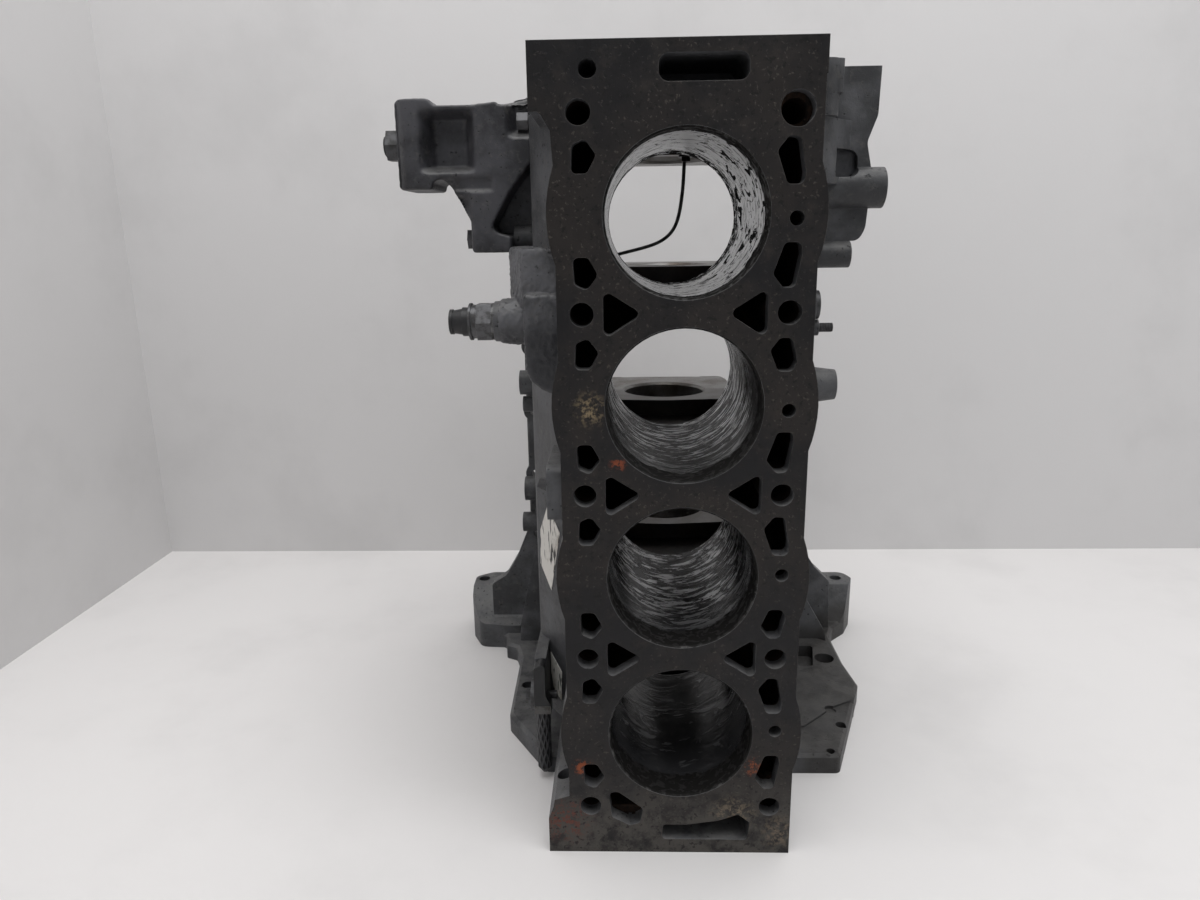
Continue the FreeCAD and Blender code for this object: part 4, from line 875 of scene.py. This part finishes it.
# %% Rough lump and filled window
def lump_finish():
    finish = Finish("lump_iron")
    tone, rough, direction = casting(finish, (0.086, 0.087, 0.094), (0.20, 0.20, 0.21), 0.0011)[:3]
    place = finish.axes(finish.place)
    # Painted shade: darker low down beside the oil switch, where the lump sits in shadow.
    shade_by_switch = (1 - finish.step(place[0], -0.08, -0.06)) * (1 - finish.step(place[2], 0.316, 0.330))
    tone = finish.mix(shade_by_switch * 0.8, tone, (0.022, 0.022, 0.025))
    return finish.surface({"Specular IOR Level": 0.42}, Base_Color=tone, Roughness=rough, Normal=direction)


lump_iron = lump_finish()


def box_object(name, low, high):
    mesh = bpy.data.meshes.new(name)
    add_box(mesh, low, high)
    return start_object(mesh, name)


def skinned(start, name, cell, rounds, swell, roughness, grain):
    """The softened start object with a sandy skin, as a finished piece."""
    soften(start, cell, rounds)
    piece = bake_nodes(start, cast_skin, {"Swell": swell, "Roughness": roughness, "Grain": grain,
                                          "Paint": lump_iron}, name)
    shade_round(piece, 60.0)
    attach(piece, "root")
    print(name, len(piece.data.polygons), "faces", [round(v, 3) for v in piece.dimensions])


def cut_from_block(name, low, high):
    """The part of the block inside a box; the box is still needed while it is evaluated."""
    cutter = box_object("cutter", low, high)
    start = start_object(merged_copy("cylinder_block"), name)
    cut = start.modifiers.new("cut", "BOOLEAN")
    cut.operation = "INTERSECT"
    cut.solver = "EXACT"
    cut.object = cutter
    return start, cutter


rough_start, cutter = cut_from_block("rough_start", (-0.1090, -0.1850, 0.2790), (-0.0705, -0.0760, 0.3690))
skinned(rough_start, "left_rough_casting", 0.0011, 10, 0.0012, 0.0026, 420.0)
bpy.data.objects.remove(cutter)
window_start = box_object("window_start", (0.0855, -0.1440, 0.4075), (0.1085, -0.1190, 0.4245))
skinned(window_start, "right_housing_casting", 0.0012, 10, 0.0008, 0.0006, 260.0)

# %% [markdown]
# ## Metal strip
#
# A thin dark strip crosses the bay that is seen through the top cylinder. Its foot is screwed to the
# last bearing seat, and it bends away to the left. A flat section is swept along a smooth curve by
# Geometry Nodes, because a band that follows a path is easier to bend there than in a solid.

# %% Metal strip
def path_curve(name, points, order=4):
    curve = bpy.data.curves.new(name, "CURVE")
    curve.dimensions = "3D"
    curve.resolution_u = 12
    spline = curve.splines.new("NURBS")
    spline.points.add(len(points) - 1)
    for target, point in zip(spline.points, points):
        target.co = (*point, 1.0)
    spline.order_u = order
    spline.use_endpoint_u = True
    return start_object(curve, name)


def band_tree():
    tree = new_tree("bent_band", [("Width", "Float"), ("Thickness", "Float")])
    given = tree.nodes.new("NodeGroupInput")
    section = tree.nodes.new("GeometryNodeCurvePrimitiveQuadrilateral")
    upright = tree.nodes.new("GeometryNodeSetCurveNormal")
    sweep = tree.nodes.new("GeometryNodeCurveToMesh")
    upright.mode = "Z_UP"
    sweep.inputs["Fill Caps"].default_value = True
    link = tree.links.new
    link(given.outputs["Width"], section.inputs["Width"])
    link(given.outputs["Thickness"], section.inputs["Height"])
    link(given.outputs["Geometry"], upright.inputs[0])
    link(upright.outputs[0], sweep.inputs["Curve"])
    link(section.outputs[0], sweep.inputs["Profile Curve"])
    finish_nodes(tree, given, sweep)
    return tree


STRIP_Y = -0.035
STRIP_WIDTH = 0.0050
STRIP_THICKNESS = 0.0024
strip_route = [(0.0124, STRIP_Y, 0.4300), (0.0120, STRIP_Y, 0.4120), (0.0100, STRIP_Y, 0.3940),
               (0.0060, STRIP_Y, 0.3790), (-0.0060, STRIP_Y, 0.3690), (-0.0300, STRIP_Y, 0.3640),
               (-0.0620, STRIP_Y, 0.3560), (-0.0970, STRIP_Y, 0.3500)]
band = bake_nodes(path_curve("strip_route", strip_route), band_tree(),
                  {"Width": STRIP_WIDTH, "Thickness": STRIP_THICKNESS, "Paint": strip_steel}, "strip_band")
shade_round(band)
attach(band, "root")
print("strip band", len(band.data.polygons), "faces", [round(v, 3) for v in band.dimensions])

# %% [markdown]
# ## Threads
#
# The stud on the right, the bracket's stud and the nut's end are plain cylinders in the CAD model. A
# thread is a small ridge wound round the two studs: Geometry Nodes sweep a fine section along a
# spiral, whose turns and height come from the named inputs.

# %% Threads
def thread_tree():
    tree = new_tree("thread", [("Turns", "Float"), ("Radius", "Float"), ("Length", "Float"),
                               ("Ridge", "Float"), ("Place", "Vector"), ("Turn", "Vector")])
    given = tree.nodes.new("NodeGroupInput")
    spiral = tree.nodes.new("GeometryNodeCurveSpiral")
    spiral.inputs["Resolution"].default_value = 20
    section = tree.nodes.new("GeometryNodeCurvePrimitiveCircle")
    section.inputs["Resolution"].default_value = 4
    sweep = tree.nodes.new("GeometryNodeCurveToMesh")
    sweep.inputs["Fill Caps"].default_value = True
    place = tree.nodes.new("GeometryNodeTransform")
    link = tree.links.new
    link(given.outputs["Turns"], spiral.inputs["Rotations"])
    link(given.outputs["Radius"], spiral.inputs["Start Radius"])
    link(given.outputs["Radius"], spiral.inputs["End Radius"])
    link(given.outputs["Length"], spiral.inputs["Height"])
    link(given.outputs["Ridge"], section.inputs["Radius"])
    link(spiral.outputs[0], sweep.inputs["Curve"])
    link(section.outputs[0], sweep.inputs["Profile Curve"])
    link(sweep.outputs[0], place.inputs["Geometry"])
    link(given.outputs["Place"], place.inputs["Translation"])
    link(given.outputs["Turn"], place.inputs["Rotation"])
    finish_nodes(tree, given, place)
    return tree


thread = thread_tree()
ALONG_X = (0.0, math.pi / 2, 0.0)


def thread_piece(name, place, radius, length, pitch, material):
    empty = start_object(bpy.data.meshes.new(name + "_start"), name + "_start")
    piece = bake_nodes(empty, thread, {"Turns": length / pitch, "Radius": radius, "Length": length,
                                       "Ridge": pitch * 0.36, "Paint": material, "Place": place,
                                       "Turn": ALONG_X}, name)
    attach(piece, "root")
    print(name, len(piece.data.polygons), "faces")


right_stud_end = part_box("right_stud")[1].x
thread_piece("right_stud_thread", (right_stud_end - 0.0088, -0.155, 0.319), 0.0026, 0.0085, 0.0010,
             painted_steel)
bracket_stud_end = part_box("bracket_end_stud")[0].x
thread_piece("bracket_stud_thread", (bracket_stud_end + 0.0002, -0.1125, 0.434), 0.0060, 0.0020, 0.0012,
             painted_steel)

# %% Check that no node kept its plain colour
plain = [name for name, node in nodes.items()
         for slot in node.material_slots if slot.material is None or len(slot.material.node_tree.nodes) < 8]
print("plain nodes:", plain)
